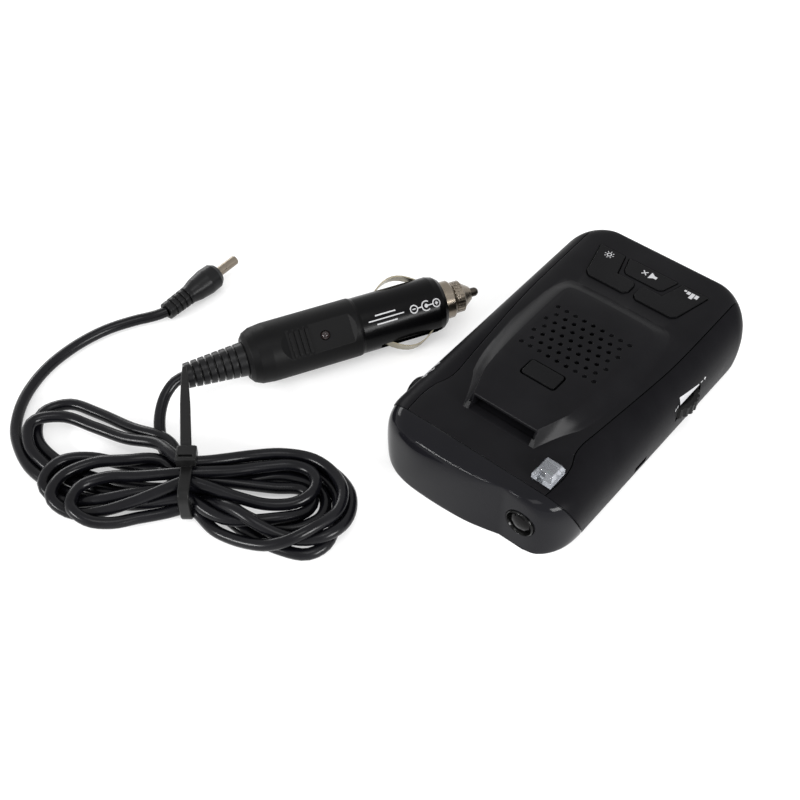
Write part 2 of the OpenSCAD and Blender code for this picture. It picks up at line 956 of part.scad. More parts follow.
// Bowed strip whose ends stay inside the shell
module leaf() {
    steps = 12;
    span = leaf_end - leaf_start;
    outer = [for (i = [0:steps])
        let (u = i / steps)
        [leaf_start + span * u, leaf_base_radius - 1.4 + (leaf_bow + 1.4) * sin(180 * u)]];
    inner = [for (i = [steps:-1:0]) outer[i] - [0, leaf_thickness]];
    translate([0, 0, -leaf_width / 2])
        linear_extrude(leaf_width)
            polygon(concat(outer, inner));
}

module side_contact_left() {
    color([0.78, 0.74, 0.62])
    lay_plug()
        rotate([leaf_roll, 0, 0])
            leaf();
}

module side_contact_right() {
    color([0.78, 0.74, 0.62])
    lay_plug()
        rotate([leaf_roll, 0, 0])
            mirror([0, 1, 0])
                leaf();
}

module plug_strain_relief() {
    color([0.09, 0.09, 0.1])
    lay_plug()
        difference() {
            turned([[-relief_length, cord_diameter / 2], [-relief_length, 4.3], [-0.6, 5.9],
                [0, 5.9], [0, 4.1], [2.5, 4.1], [2.5, cord_diameter / 2]]);
            for (i = [0:6])
                turned([[-18.6 + 2.5 * i, 3.3 + 0.2 * i], [-18.6 + 2.5 * i, 8],
                    [-17.9 + 2.5 * i, 8], [-17.9 + 2.5 * i, 3.3 + 0.2 * i]]);
        }
}

// ---------- cord ----------

module cord_plug_lead() {
    color([0.07, 0.07, 0.08])
    difference() {
        tube(smooth_route(plug_lead_route, 3), cord_diameter / 2, 8);
        hank_form();
    }
}

module cord_jack_lead() {
    color([0.07, 0.07, 0.08])
    difference() {
        tube(smooth_route(jack_lead_route, 3), cord_diameter / 2, 8);
        hank_form();
    }
}

// Outer shape of the folded cord: two lobes drawn together under the tie
module hank_form() {
    linear_extrude(hank_height)
        union() {
            hull() {
                translate([-117, -122])
                    circle(r = 13);
                translate([-100, -122])
                    circle(r = 15);
                at_tie()
                    square([8, tie_span], center = true);
            }
            hull() {
                translate([-46, -91])
                    circle(r = 19);
                translate([-39, -91])
                    circle(r = 16.5);
                at_tie()
                    square([8, tie_span], center = true);
            }
        }
}

module at_tie() {
    translate(tie_centre)
        rotate([0, 0, tie_heading])
            children();
}

module cord_hank() {
    color([0.07, 0.07, 0.08])
    difference() {
        hank_form();
        at_tie()
            difference() {
                translate([0, 0, hank_height / 2])
                    cube([tie_width, 60, hank_height + 2], center = true);
                translate([0, 0, tie_gauge])
                    translate([-tie_width, -tie_span / 2, 0])
                        cube([2 * tie_width, tie_span, hank_height]);
            }
    }
}

// Strap round the hank, its head on top, and the tail that leans over to the plug
module cable_tie() {
    color([0.06, 0.06, 0.06])
    at_tie() {
        difference() {
            translate([0, 0, (hank_height + tie_gauge) / 2])
                cube([tie_width, tie_span + 2 * tie_gauge, hank_height + tie_gauge], center = true);
            translate([0, 0, (hank_height + tie_gauge) / 2])
                cube([tie_width + 2, tie_span, hank_height - tie_gauge], center = true);
        }
        translate([-3.2, 0.6, hank_height + tie_gauge])
            cube([6.4, 6, 3.6]);
        translate([0, 3, hank_height + 2.6])
            rotate([0.6, 0, 7])
                linear_extrude(1)
                    polygon([[-1.8, 0], [1.8, 0], [1.6, 22], [0.9, 38], [-0.9, 38], [-1.6, 22]]);
    }
}

// ---------- jack plug ----------

module lay_jack_plug() {
    translate(jack_plug_origin)
        rotate([0, 0, jack_plug_heading])
            rotate([0, -jack_plug_rise, 0])
                children();
}

module jack_plug_boot() {
    color([0.09, 0.09, 0.1])
    lay_jack_plug()
        difference() {
            turned([[0, cord_diameter / 2], [0, 3.2], [11, 3.5], [14, 4.3], [19, 4.9],
                [23, 4.7], [24.6, 3.6], [24.6, 2.2], [4, 2.2], [4, cord_diameter / 2]]);
            for (i = [0:3])
                turned([[2 + 2.2 * i, 2.6], [2 + 2.2 * i, 6], [2.9 + 2.2 * i, 6],
                    [2.9 + 2.2 * i, 2.6]]);
        }
}

module jack_plug_barrel() {
    color([0.78, 0.76, 0.7])
    lay_jack_plug()
        turned([[16, 1.2], [16, 2.18], [24.8, 2.18], [24.8, 1.75], [33.6, 1.75], [34, 1.5],
            [34, 1.2]]);
}

module jack_plug_core() {
    color([0.05, 0.05, 0.05])
    lay_jack_plug()
        turned([[16, 0.7], [16, 1.19], [33.4, 1.19], [33.4, 0.7]]);
}

case_body();
top_cover();
nose_cover();
lens_bezel();
laser_lens();
sky_prism();
display_window();
key_left();
key_middle();
key_right();
release_button();
release_spring();
volume_wheel();
volume_pot();
dc_jack();
dc_jack_pin();
main_board();
board_chips();
horn_antenna();
horn_lid();
front_sensor();
sky_sensor();
speaker_frame();
speaker_cone();
speaker_magnet();
speaker_gasket();
key_board();
key_switches();
display_board();
display_lamps();
case_screws();
board_screws();
rating_plate();
plug_shell_upper();
plug_shell_lower();
plug_collar();
fuse_washer();
fuse_cap();
contact_tip();
plug_fuse();
fuse_spring();
side_contact_left();
side_contact_right();
plug_led();
plug_board();
plug_screw();
plug_strain_relief();
cord_plug_lead();
cord_hank();
cord_jack_lead();
jack_plug_boot();
jack_plug_barrel();
jack_plug_core();
cable_tie();
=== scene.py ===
"""Radar detector with its power cord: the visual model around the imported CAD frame."""
import json
import math

import bmesh
import bpy
import numpy as np
from mathutils import Matrix, Vector
from mathutils.bvhtree import BVHTree


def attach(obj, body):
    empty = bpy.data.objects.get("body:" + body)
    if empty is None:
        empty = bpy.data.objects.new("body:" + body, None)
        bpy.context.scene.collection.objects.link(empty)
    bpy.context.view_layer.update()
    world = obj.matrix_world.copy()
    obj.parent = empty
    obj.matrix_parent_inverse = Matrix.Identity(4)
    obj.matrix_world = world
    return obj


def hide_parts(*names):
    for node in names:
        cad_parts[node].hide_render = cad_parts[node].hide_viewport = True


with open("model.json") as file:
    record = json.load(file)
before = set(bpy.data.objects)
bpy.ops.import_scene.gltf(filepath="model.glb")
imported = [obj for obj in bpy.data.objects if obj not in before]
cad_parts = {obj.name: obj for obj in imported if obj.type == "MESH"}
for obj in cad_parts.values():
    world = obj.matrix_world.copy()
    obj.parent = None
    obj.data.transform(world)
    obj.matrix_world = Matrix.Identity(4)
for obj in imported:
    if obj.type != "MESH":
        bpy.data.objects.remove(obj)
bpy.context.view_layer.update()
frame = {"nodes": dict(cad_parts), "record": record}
MM = 0.001
ROOT = "root"

# ---------------------------------------------------------------- stage, light and camera


def add_light(name, place, aim, size, power, size_y=None):
    data = bpy.data.lights.new(name, "AREA")
    data.shape = "RECTANGLE"
    data.size = size
    data.size_y = size_y or size
    data.energy = power
    lamp = bpy.data.objects.new(name, data)
    bpy.context.collection.objects.link(lamp)
    lamp.location = place
    lamp.rotation_euler = (Vector(aim) - Vector(place)).to_track_quat("-Z", "Y").to_euler()


camera_data = bpy.data.cameras.new("camera")
camera_data.lens = 57.1
camera_data.sensor_width = 36
camera_data.clip_start = 0.01
camera = bpy.data.objects.new("camera", camera_data)
bpy.context.collection.objects.link(camera)
camera.location = (0.1397, -0.2537, 0.3210)
camera.rotation_euler = (math.radians(41.80), 0, math.radians(39.82))
bpy.context.scene.camera = camera
bpy.context.scene.view_settings.view_transform = "Standard"


# ---------------------------------------------------------------- materials


class Nodes:
    """Short calls for building one material's node tree."""

    def __init__(self, name):
        self.mat = bpy.data.materials.new(name)
        self.mat.use_nodes = True
        self.tree = self.mat.node_tree
        self.bsdf = self.tree.nodes["Principled BSDF"]

    def add(self, kind, **props):
        node = self.tree.nodes.new(kind)
        for key, value in props.items():
            setattr(node, key, value)
        return node

    def put(self, socket, value):
        if hasattr(value, "links"):
            self.tree.links.new(value, socket)
        else:
            socket.default_value = value

    def place(self):
        return self.add("ShaderNodeTexCoord").outputs["Object"]

    def math(self, operation, a, b):
        node = self.add("ShaderNodeMath", operation=operation)
        for socket, value in zip(node.inputs, (a, b)):
            self.put(socket, value)
        return node.outputs[0]

    def dot(self, vector, axis):
        node = self.add("ShaderNodeVectorMath", operation="DOT_PRODUCT")
        self.put(node.inputs[0], vector)
        node.inputs[1].default_value = axis
        return node.outputs["Value"]

    def noise(self, scale, detail=3.0, rough=0.55):
        node = self.add("ShaderNodeTexNoise")
        node.inputs["Scale"].default_value = scale
        node.inputs["Detail"].default_value = detail
        node.inputs["Roughness"].default_value = rough
        self.put(node.inputs["Vector"], self.place())
        return node.outputs["Fac"]

    def span(self, value, low, high, to_low, to_high):
        node = self.add("ShaderNodeMapRange")
        for socket, v in zip(node.inputs, (value, low, high, to_low, to_high)):
            self.put(socket, v)
        return node.outputs["Result"]

    def mix(self, share, a, b):
        node = self.add("ShaderNodeMix", data_type="RGBA")
        self.put(node.inputs[0], share)
        self.put(node.inputs[6], a)
        self.put(node.inputs[7], b)
        return node.outputs[2]

    def bump(self, height, strength, distance, edge=0.0):
        node = self.add("ShaderNodeBump")
        node.inputs["Strength"].default_value = strength
        node.inputs["Distance"].default_value = distance
        self.put(node.inputs["Height"], height)
        if edge:
            rim = self.add("ShaderNodeBevel", samples=6)
            rim.inputs["Radius"].default_value = edge
            self.put(node.inputs["Normal"], rim.outputs[0])
        self.put(self.bsdf.inputs["Normal"], node.outputs[0])

    def set(self, **values):
        names = {"colour": "Base Color", "rough": "Roughness", "metal": "Metallic",
                 "spec": "Specular IOR Level", "ior": "IOR", "clear": "Transmission Weight"}
        for key, value in values.items():
            if key == "colour" and not hasattr(value, "links"):
                value = tuple(value)[:3] + (1.0,)
            self.put(self.bsdf.inputs[names[key]], value)


def plastic(name, colour, rough, spec=0.5, grain=9000.0, depth=0.00002, edge=0.0003, wear=0.25,
            strength=0.35, ior=1.5):
    """Moulded plastic: fine spark-eroded grain, uneven gloss and a faint change of colour."""
    n = Nodes(name)
    broad = n.noise(55.0, 4.0)
    fine = n.noise(grain, 2.0, 0.6)
    light = tuple(min(1.0, c * (1 + wear) + 0.001) for c in colour)
    n.set(colour=n.mix(n.span(broad, 0.3, 0.7, 0.0, 1.0), colour + (1,), light + (1,)),
          rough=n.span(broad, 0.3, 0.7, rough * 0.9, min(1.0, rough * 1.12)), spec=spec, ior=ior)
    n.bump(fine, strength, depth, edge)
    return n.mat


def metal(name, colour, rough, scratch=2600.0, edge=0.0002, tarnish=(0.5, 0.42, 0.3)):
    n = Nodes(name)
    broad = n.noise(240.0, 5.0)
    fine = n.noise(scratch, 2.0)
    n.set(colour=n.mix(n.span(broad, 0.45, 0.8, 0.0, 0.55), colour + (1,), tarnish + (1,)),
          rough=n.span(broad, 0.3, 0.75, rough, rough * 1.7), metal=1.0)
    n.bump(fine, 0.2, 0.00002, edge)
    return n.mat


CASE = (0.0042, 0.0041, 0.0048)
mats = {
    "case": plastic("case_satin", CASE, 0.34, 0.45, ior=1.09),
    "cover": plastic("cover_satin", CASE, 0.3, 0.4, ior=1.17),
    "nose": plastic("nose_piano_black", (0.0055, 0.0055, 0.0068), 0.06, 0.5, 900.0, 0.000002,
                    0.0008, 0.04, 0.05, 1.18),
    "bezel": plastic("bezel_gloss", (0.0015, 0.0015, 0.0015), 0.16, 0.4, 900.0, 0.00001, ior=1.3),
    "lens": plastic("lens_dark", (0.0004, 0.0003, 0.0004), 0.02, 0.5, 300.0, 0.000002, 0.0002,
                    0.1, 0.02, 1.22),
    "keycap": plastic("key_satin", (0.0028, 0.0028, 0.0032), 0.4, 0.42, edge=0.0004, ior=1.19),
    "wheel": plastic("wheel_black", (0.004, 0.004, 0.004), 0.45, 0.4, edge=0.0002, ior=1.3),
    "chip": plastic("epoxy_black", (0.012, 0.012, 0.013), 0.55, 0.4),
    "board": plastic("solder_mask", (0.008, 0.09, 0.03), 0.35, 0.5, 1500.0),
    "foam": plastic("foam", (0.01, 0.01, 0.01), 0.95, 0.1, 2500.0, 0.0002),
    "cone": plastic("paper_cone", (0.016, 0.015, 0.014), 0.85, 0.2, 1800.0, 0.00008),
    "washer": plastic("fibre_washer", (0.42, 0.36, 0.24), 0.7, 0.3, 1500.0, 0.00005),
    "lamps": plastic("lamp_blocks", (0.22, 0.012, 0.012), 0.3, 0.5, 1500.0),
    "tie": plastic("nylon_black", (0.003, 0.003, 0.003), 0.36, 0.45, 1200.0, 0.00003, 0.0003,
                   ior=1.3),
    "boot": plastic("boot_pvc", (0.0026, 0.0026, 0.003), 0.34, 0.45, 1600.0, 0.00004, 0.0004,
                    ior=1.3),
    "zinc": metal("die_cast_zinc", (0.5, 0.51, 0.53), 0.42, 1200.0),
    "steel": metal("zinc_plated_steel", (0.56, 0.56, 0.57), 0.3),
    "nickel": metal("nickel_plate", (0.22, 0.19, 0.155), 0.22, tarnish=(0.2, 0.165, 0.12)),
    "spring_leaf": metal("spring_leaf", (0.3, 0.27, 0.2), 0.24, tarnish=(0.2, 0.17, 0.11)),
    "tip": metal("dark_tip", (0.07, 0.06, 0.052), 0.3, tarnish=(0.05, 0.042, 0.034)),
}


def printed(name, colour, rough):
    n = Nodes(name)
    speck = n.noise(7000.0, 2.0)
    n.set(colour=n.mix(n.span(speck, 0.35, 0.7, 0.0, 1.0), colour + (1,),
                       tuple(c * 0.8 for c in colour) + (1,)), rough=rough)
    n.bump(speck, 0.2, 0.00001)
    return n.mat


mats["print"] = printed("white_print", (0.4, 0.4, 0.41), 0.5)
mats["plate"] = printed("label_stock", (0.42, 0.43, 0.45), 0.38)


def clear(name, colour, rough, ior, share=1.0):
    n = Nodes(name)
    ripple = n.noise(500.0, 2.0)
    n.set(colour=colour, rough=rough, ior=ior, clear=share)
    n.bump(ripple, 0.08, 0.00002, 0.0003)
    return n.mat


mats["clear"] = clear("clear_acrylic", (0.5, 0.52, 0.56), 0.03, 1.49, 0.85)
mats["window"] = clear("smoked_acrylic", (0.03, 0.006, 0.008), 0.05, 1.35, 0.5)
mats["fuse"] = clear("fuse_glass", (0.95, 0.97, 0.97), 0.03, 1.5)
mats["led"] = clear("led_dome", (0.02, 0.012, 0.012), 0.05, 1.5, 0.5)

# The power plug's own axes: U runs along it to the tip, V to its left, W out of its recess
PLUG_ORIGIN = np.array([-90.5, -59.5, 10.3])
PLUG_HEADING = math.radians(62.5)
PLUG_ROLL = math.radians(43.5)
U = np.array([math.cos(PLUG_HEADING), math.sin(PLUG_HEADING), 0])
SIDE = np.array([-math.sin(PLUG_HEADING), math.cos(PLUG_HEADING), 0])
V = SIDE * math.cos(PLUG_ROLL) + np.array([0, 0, math.sin(PLUG_ROLL)])
W = np.cross(U, V)


def grip_plastic():
    """The plug's body: matt grip behind, polished nose in front of the moulded split."""
    n = Nodes("plug_body")
    along = n.math("SUBTRACT", n.dot(n.place(), tuple(U)), float(PLUG_ORIGIN @ U) * MM)
    front = n.span(along, 0.0393, 0.0397, 0.0, 1.0)
    broad = n.noise(70.0, 4.0)
    fine = n.noise(8000.0, 2.0, 0.6)
    rough = n.span(front, 0, 1, 0.46, 0.24)
    n.set(colour=n.mix(front, (0.0028, 0.0028, 0.003, 1), (0.0018, 0.0018, 0.002, 1)),
          rough=n.math("ADD", rough, n.span(broad, 0.3, 0.7, -0.04, 0.04)), spec=0.45, ior=1.19)
    n.bump(n.math("MULTIPLY", fine, n.span(front, 0, 1, 1.0, 0.3)), 0.35, 0.00002, 0.0003)
    return n.mat


mats["grip"] = grip_plastic()


def cord_pvc():
    """Soft PVC sheath: glossy, with a slow waviness and scuffs."""
    n = Nodes("cord_pvc")
    broad = n.noise(160.0, 4.0)
    scuff = n.noise(2200.0, 3.0)
    n.set(colour=n.mix(n.span(broad, 0.35, 0.7, 0.0, 1.0), (0.0018, 0.0018, 0.0026, 1),
                       (0.003, 0.003, 0.0042, 1)),
          rough=n.span(broad, 0.3, 0.7, 0.2, 0.3), spec=0.5, ior=1.28)
    n.bump(n.math("ADD", n.math("MULTIPLY", broad, 4.0), scuff), 0.12, 0.000015)
    return n.mat


mats["cord"] = cord_pvc()

for node, obj in frame["nodes"].items():
    wanted = [p["material_slot"] for p in frame["record"]["subparts"] if p["node"] == node][0]
    obj.data.materials.clear()
    obj.data.materials.append(mats[wanted])

# ---------------------------------------------------------------- mesh helpers


def make_print(name, verts, faces, body):
    """A flat-shaded piece of white print, from points in millimetres."""
    mesh = bpy.data.meshes.new(name)
    mesh.from_pydata([tuple(float(c) * MM for c in v) for v in verts], [], faces)
    mesh.validate()
    dress(bpy.data.objects.new(name, mesh), "plate", body, 0, "print")


def dress(obj, slot, body, smooth, material=None):
    """Gives a piece the material of its slot or the one named, its body and its smoothing angle in
    degrees.
    """
    if obj.name not in bpy.context.collection.objects:
        bpy.context.collection.objects.link(obj)
    obj.data.materials.clear()
    obj.data.materials.append(mats[material or slot])
    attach(obj, body)
    if smooth:
        obj.data.set_sharp_from_angle(angle=math.radians(smooth))
        for p in obj.data.polygons:
            p.use_smooth = True


def rough_part(verts, faces):
    """A solid in millimetres that takes part in a cut, not yet a piece."""
    mesh = bpy.data.meshes.new("work")
    mesh.from_pydata([tuple(map(float, v)) for v in verts], [], faces)
    work = bmesh.new()
    work.from_mesh(mesh)
    bmesh.ops.recalc_face_normals(work, faces=work.faces)
    work.to_mesh(mesh)
    work.free()
    obj = bpy.data.objects.new("work", mesh)
    bpy.context.collection.objects.link(obj)
    return obj


def cut(target, tool, operation="DIFFERENCE"):
    step = target.modifiers.new("cut", "BOOLEAN")
    step.operation = operation
    step.solver = "EXACT"
    step.object = tool
    seen = target.evaluated_get(bpy.context.evaluated_depsgraph_get())
    mesh = bpy.data.meshes.new_from_object(seen)
    target.modifiers.clear()
    target.data = mesh
    bpy.data.objects.remove(tool)


def copy_of(obj):
    twin = bpy.data.objects.new("work", obj.data.copy())
    bpy.context.collection.objects.link(twin)
    return twin


def loft(rings, closed_ends=True):
    """Faces between rings of equal length, with both ends closed."""
    n = len(rings[0])
    faces = []
    for r in range(len(rings) - 1):
        low, high = r * n, (r + 1) * n
        for k in range(n):
            after = (k + 1) % n
            faces.append((low + k, low + after, high + after, high + k))
    if closed_ends:
        faces.append(tuple(reversed(range(n))))
        faces.append(tuple(range((len(rings) - 1) * n, len(rings) * n)))
    return [p for ring in rings for p in ring], faces


def prism(plan, low, high):
    return loft([[(x, y, low) for x, y in plan], [(x, y, high) for x, y in plan]])


def box(low, high):
    (a, b, c), (d, e, f) = low, high
    return prism([(a, b), (d, b), (d, e), (a, e)], c, f)


def rod(centre, axis, radius, low, high, sides=40):
    """A round bar along an axis name, between two values on that axis."""
    rings = []
    for z in (low, high):
        ring = []
        for k in range(sides):
            a = 2 * math.pi * k / sides
            p = (radius * math.cos(a), radius * math.sin(a))
            if axis == "z":
                ring.append((centre[0] + p[0], centre[1] + p[1], z))
            elif axis == "x":
                ring.append((z, centre[0] + p[0], centre[1] + p[1]))
            else:
                ring.append((centre[0] + p[0], z, centre[1] + p[1]))
        rings.append(ring)
    return loft(rings)


def several(parts):
    verts, faces = [], []
    for v, f in parts:
        base = len(verts)
        verts += list(v)
        faces += [tuple(base + i for i in face) for face in f]
    return verts, faces


def curve_through(points, per_span):
    """Centripetal curve through all the points, sampled evenly in each span."""
    p = [np.array(q, float) for q in points]
    p = [2 * p[0] - p[1]] + p + [2 * p[-1] - p[-2]]
    out = []
    for i in range(1, len(p) - 2):
        a, b, c, d = p[i - 1:i + 3]
        t1 = max(np.linalg.norm(b - a), 1e-6) ** 0.5
        t2 = t1 + max(np.linalg.norm(c - b), 1e-6) ** 0.5
        t3 = t2 + max(np.linalg.norm(d - c), 1e-6) ** 0.5
        for t in np.linspace(t1, t2, per_span, endpoint=False):
            e = (t1 - t) / t1 * a + t / t1 * b
            f = (t2 - t) / (t2 - t1) * b + (t - t1) / (t2 - t1) * c
            g = (t3 - t) / (t3 - t2) * c + (t - t2) / (t3 - t2) * d
            h = (t2 - t) / t2 * e + t / t2 * f
            k = (t3 - t) / (t3 - t1) * f + (t - t1) / (t3 - t1) * g
            out.append((t2 - t) / (t2 - t1) * h + (t - t1) / (t2 - t1) * k)
    return out + [p[-2]]


def rounded(plan, radius, steps=4):
    """The outline with each corner rounded."""
    out = []
    n = len(plan)
    for i in range(n):
        a, b, c = (np.array(plan[(i + k) % n], float) for k in (-1, 0, 1))
        r1 = min(radius, np.linalg.norm(a - b) * 0.45)
        r2 = min(radius, np.linalg.norm(c - b) * 0.45)
        s = b + (a - b) / np.linalg.norm(a - b) * r1
        e = b + (c - b) / np.linalg.norm(c - b) * r2
        for k in range(steps + 1):
            t = k / steps
            out.append(tuple((1 - t) ** 2 * s + 2 * t * (1 - t) * b + t * t * e))
    return out


# ---------------------------------------------------------------- cord

CORD_DIAMETER = 3.9
CORD_STEP = 2.0
STRAND_GAP = 3.94
SETTLE_ROUNDS = 420
# Half the length and half the width of the place where the tie holds the strands
TIE_HOLDS = (2.2, 10)
# Points at each end of the cord that stay in their plug, and the fewest points between two
# points of the cord that may push each other apart
HELD_ENDS = 5
APART = 6
TIE = np.array([-69.0, -107.0])
TIE_HEADING = math.radians(40)
TIE_ALONG = np.array([math.cos(TIE_HEADING), math.sin(TIE_HEADING)])
TIE_ACROSS = np.array([-TIE_ALONG[1], TIE_ALONG[0]])
# Where each strand goes through the tie: height of its row, and places across
TIE_ROWS = {"B": (3.2, (7.9, 3.95, 0, -3.95, -7.9)), "M": (6.65, (5.95, 1.98, -1.98, -5.95)),
            "T": (10.3, (5.2, 1.2, -2.8))}
PLUG_LEAD = [(-100.1, -77.9, 10.3), (-101.4, -81.5, 9.6), (-101.2, -86.2, 7.6), (-99, -91.3, 4.8),
             (-95.6, -95.8, 2.9), (-91.5, -99.3, 2.1), (-87.5, -101.8, 2)]
JACK_LEAD = [(-126, -127, 2), (-133, -122.5, 2), (-140.5, -113.5, 2), (-145.5, -101, 2),
             (-146.5, -88, 2), (-144.3, -76, 2), (-139.4, -66, 2.4), (-135, -59.8, 3.2),
             (-133.4, -56.5, 3.6)]
# Each fold of the hank: the height it is laid at before it settles, its outline, and the place
# in the tie where it ends. It starts where the fold before it ended.
FIRST_PLACE = "B0"
FOLDS = [
    (3, [(-60, -91), (-53, -83), (-43, -80), (-33, -81.5), (-27, -88), (-23.5, -95.5),
         (-25.5, -102), (-33.5, -105.5), (-45, -107), (-55, -107)], "B2"),
    (4, [(-82, -119), (-96, -125.5), (-110.5, -128), (-123, -126), (-130.5, -117.5),
         (-127, -109), (-115.5, -105), (-101, -102.5), (-87, -99.5)], "M0"),
    (13, [(-62, -88.5), (-55, -80.5), (-46.5, -76.5), (-37.5, -75.5), (-28.5, -79), (-22.5, -88),
          (-23, -96.5), (-30, -104), (-41, -108), (-53, -109)], "B3"),
    (8, [(-80, -120.5), (-94, -127.5), (-108.5, -132), (-120, -131), (-127, -123.5), (-122, -114.5),
         (-111, -110), (-99, -106.5), (-87, -102)], "T0"),
    (21, [(-62, -87), (-55, -79), (-46, -74), (-37, -74), (-29.5, -77.5), (-25, -84.5),
          (-25, -92), (-28, -100), (-34, -106.5), (-42, -110), (-51, -112)], "B4"),
    (17, [(-72.5, -123), (-77, -130), (-83, -135), (-90.3, -135.4), (-93.8, -128.7), (-90, -121),
          (-82, -115)], "T1"),
    (17, [(-61, -97), (-55, -89), (-48, -82), (-41, -80.5), (-36, -85), (-36.5, -92),
          (-42.5, -98.5), (-51.5, -103)], "T2"),
    (13, [(-77, -122), (-83, -130), (-90.3, -136.5), (-98.8, -137.3), (-102.3, -130.4),
          (-98.3, -120.5), (-89, -113), (-82, -107)], "B1"),
    (6, [(-60, -94), (-52, -83.5), (-43, -79), (-35, -80), (-31, -86), (-34, -95), (-41.5, -101),
         (-50, -105)], "M2"),
    (11, [(-80, -122.5), (-88.5, -130), (-96, -135), (-104.9, -134.9), (-107.9, -127), (-103, -118),
          (-93, -111), (-83, -106)], "M1"),
    (10, [(-60, -94.5), (-50, -86), (-43, -80.5), (-37.5, -81.5), (-35.5, -88), (-39.5, -96.5),
          (-50, -106)], "M3"),
]
LAST_RUN = [(-81, -123, 4), (-95, -130.5, 2.5), (-111, -131.5, 2)]


def through_tie(place, way):
    height, spots = TIE_ROWS[place[0]]
    middle = TIE + TIE_ACROSS * spots[int(place[1])]
    return [(*(middle + TIE_ALONG * way * x), height) for x in (-1.5, 1.5)]


def cord_route():
    way = 1
    route = PLUG_LEAD + through_tie(FIRST_PLACE, way)
    for height, outline, place in FOLDS:
        way = -way
        route = route + [(x, y, height) for x, y in outline] + through_tie(place, way)
    return route + LAST_RUN + JACK_LEAD


def evenly(points, step):
    p = np.array(points)
    s = np.concatenate([[0], np.cumsum(np.linalg.norm(np.diff(p, axis=0), axis=1))])
    count = int(round(s[-1] / step))
    u = np.linspace(0, s[-1], count + 1)
    return np.stack([np.interp(u, s, p[:, k]) for k in range(3)], 1), s[-1] / count


def settle(p, step, rounds, gap):
    """Lays the folds down: they sink until they rest on the table or on each other, and keep
    their outline, their length and their distance from every other strand."""
    n = len(p)
    home = p.copy()
    along = (p[:, :2] - TIE) @ TIE_ALONG
    across = (p[:, :2] - TIE) @ TIE_ACROSS
    free = np.ones(n)
    free[(abs(along) < TIE_HOLDS[0]) & (abs(across) < TIE_HOLDS[1])] = 0
    free[:HELD_ENDS] = 0
    free[-HELD_ENDS:] = 0
    w = free[:, None]
    first, second = np.triu_indices(n, APART)

    def sag(q, k):
        return (q[:-2 * k] + q[2 * k:]) / 2 - q[k:-k]

    bent = {k: sag(home, k) * (1, 1, 0) for k in (1, 2, 5)}

    def part(p, times):
        for _ in range(times):
            d = abs(p[first] - p[second])
            near = np.flatnonzero((d < gap).all(1))
            a, b = first[near], second[near]
            for _ in range(3):
                d = p[b] - p[a]
                dist = np.linalg.norm(d, axis=1)
                share = np.maximum(free[a] + free[b], 1e-6)
                reach = np.maximum(gap - dist, 0) / share * 0.6
                c = d / np.maximum(dist, 1e-4)[:, None] * reach[:, None]
                push = np.zeros_like(p)
                np.add.at(push, a, -c * free[a, None])
                np.add.at(push, b, c * free[b, None])
                p += push
                p[:, 2] = np.where(free > 0, np.maximum(p[:, 2], CORD_DIAMETER / 2), p[:, 2])
            d = p[1:] - p[:-1]
            dist = np.linalg.norm(d, axis=1, keepdims=True)
            c = d * (dist - step) / dist * 0.25
            p[:-1] += c * w[:-1]
            p[1:] -= c * w[1:]

    for r in range(rounds):
        late = r / rounds
        p[:, 2] -= 0.12 * (1 - 0.7 * late) * free
        p[:, :2] += (home[:, :2] - p[:, :2]) * 0.01 * (1 - late) * w
        for k, firm in ((5, 0.08), (2, 0.25), (1, 0.25)):
            p[k:-k] += (sag(p, k) - bent[k]) * firm * (1 - 0.4 * late) * w[k:-k]
        part(p, 2)
    for _ in range(40):
        for k in (2, 1):
            p[k:-k] += (sag(p, k) - bent[k]) * 0.3 * w[k:-k]
        part(p, 3)
    for _ in range(3):
        p[1:-1] += (sag(p, 1) - bent[1]) * 0.6 * w[1:-1]
    return p


route = curve_through(cord_route(), 16)
cord_points, cord_step = evenly(route, CORD_STEP)
cord_points = settle(cord_points, cord_step, SETTLE_ROUNDS, STRAND_GAP)


def spline_piece(name, points, radius, slot, sides):
    data = bpy.data.curves.new(name, "CURVE")
    data.dimensions = "3D"
    data.bevel_depth = radius * MM
    data.bevel_resolution = sides
    data.use_fill_caps = True
    line = data.splines.new("POLY")
    line.points.add(len(points) - 1)
    for target, p in zip(line.points, points):
        target.co = (p[0] * MM, p[1] * MM, p[2] * MM, 1)
    line.use_smooth = True
    piece = bpy.data.objects.new(name, data)
    bpy.context.collection.objects.link(piece)
    data.materials.append(mats[slot])
    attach(piece, ROOT)
    return piece


cord = spline_piece("power_cord", cord_points, CORD_DIAMETER / 2, "cord", 5)
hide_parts("cord_plug_lead", "cord_hank", "cord_jack_lead")

# ---------------------------------------------------------------- case shells

HALF_WIDTH = 36.0
REAR_REACH = 60.8
FRONT_REACH = 61.0
WALL = 1.8
CROWN = 25.3
TOP_SLOPE = 1.7
PAD_HEIGHT = 28.7
PAD_FOOT_HEIGHT = 23.6
SEAM_HEIGHT = 20.5
ABOVE_ALL = 45
SLOT_HALF_WIDTH = 11.6
SLOT_MOUTH = -35.9
WHEEL_CENTRE = (29.6, 17)
JACK_CENTRE = (-34, 11)
LENS_CENTRE = (22, 11.6)
PRISM_CENTRE = (22.7, -44.4)
SPEAKER_CENTRE = (0, 2)
HOLE_PITCH = 3.5
ROW_PITCH = 3.42
FOOT_SCREWS = ((-24.5, 37), (24.5, 37), (-21, -19.5), (21, -19.5))
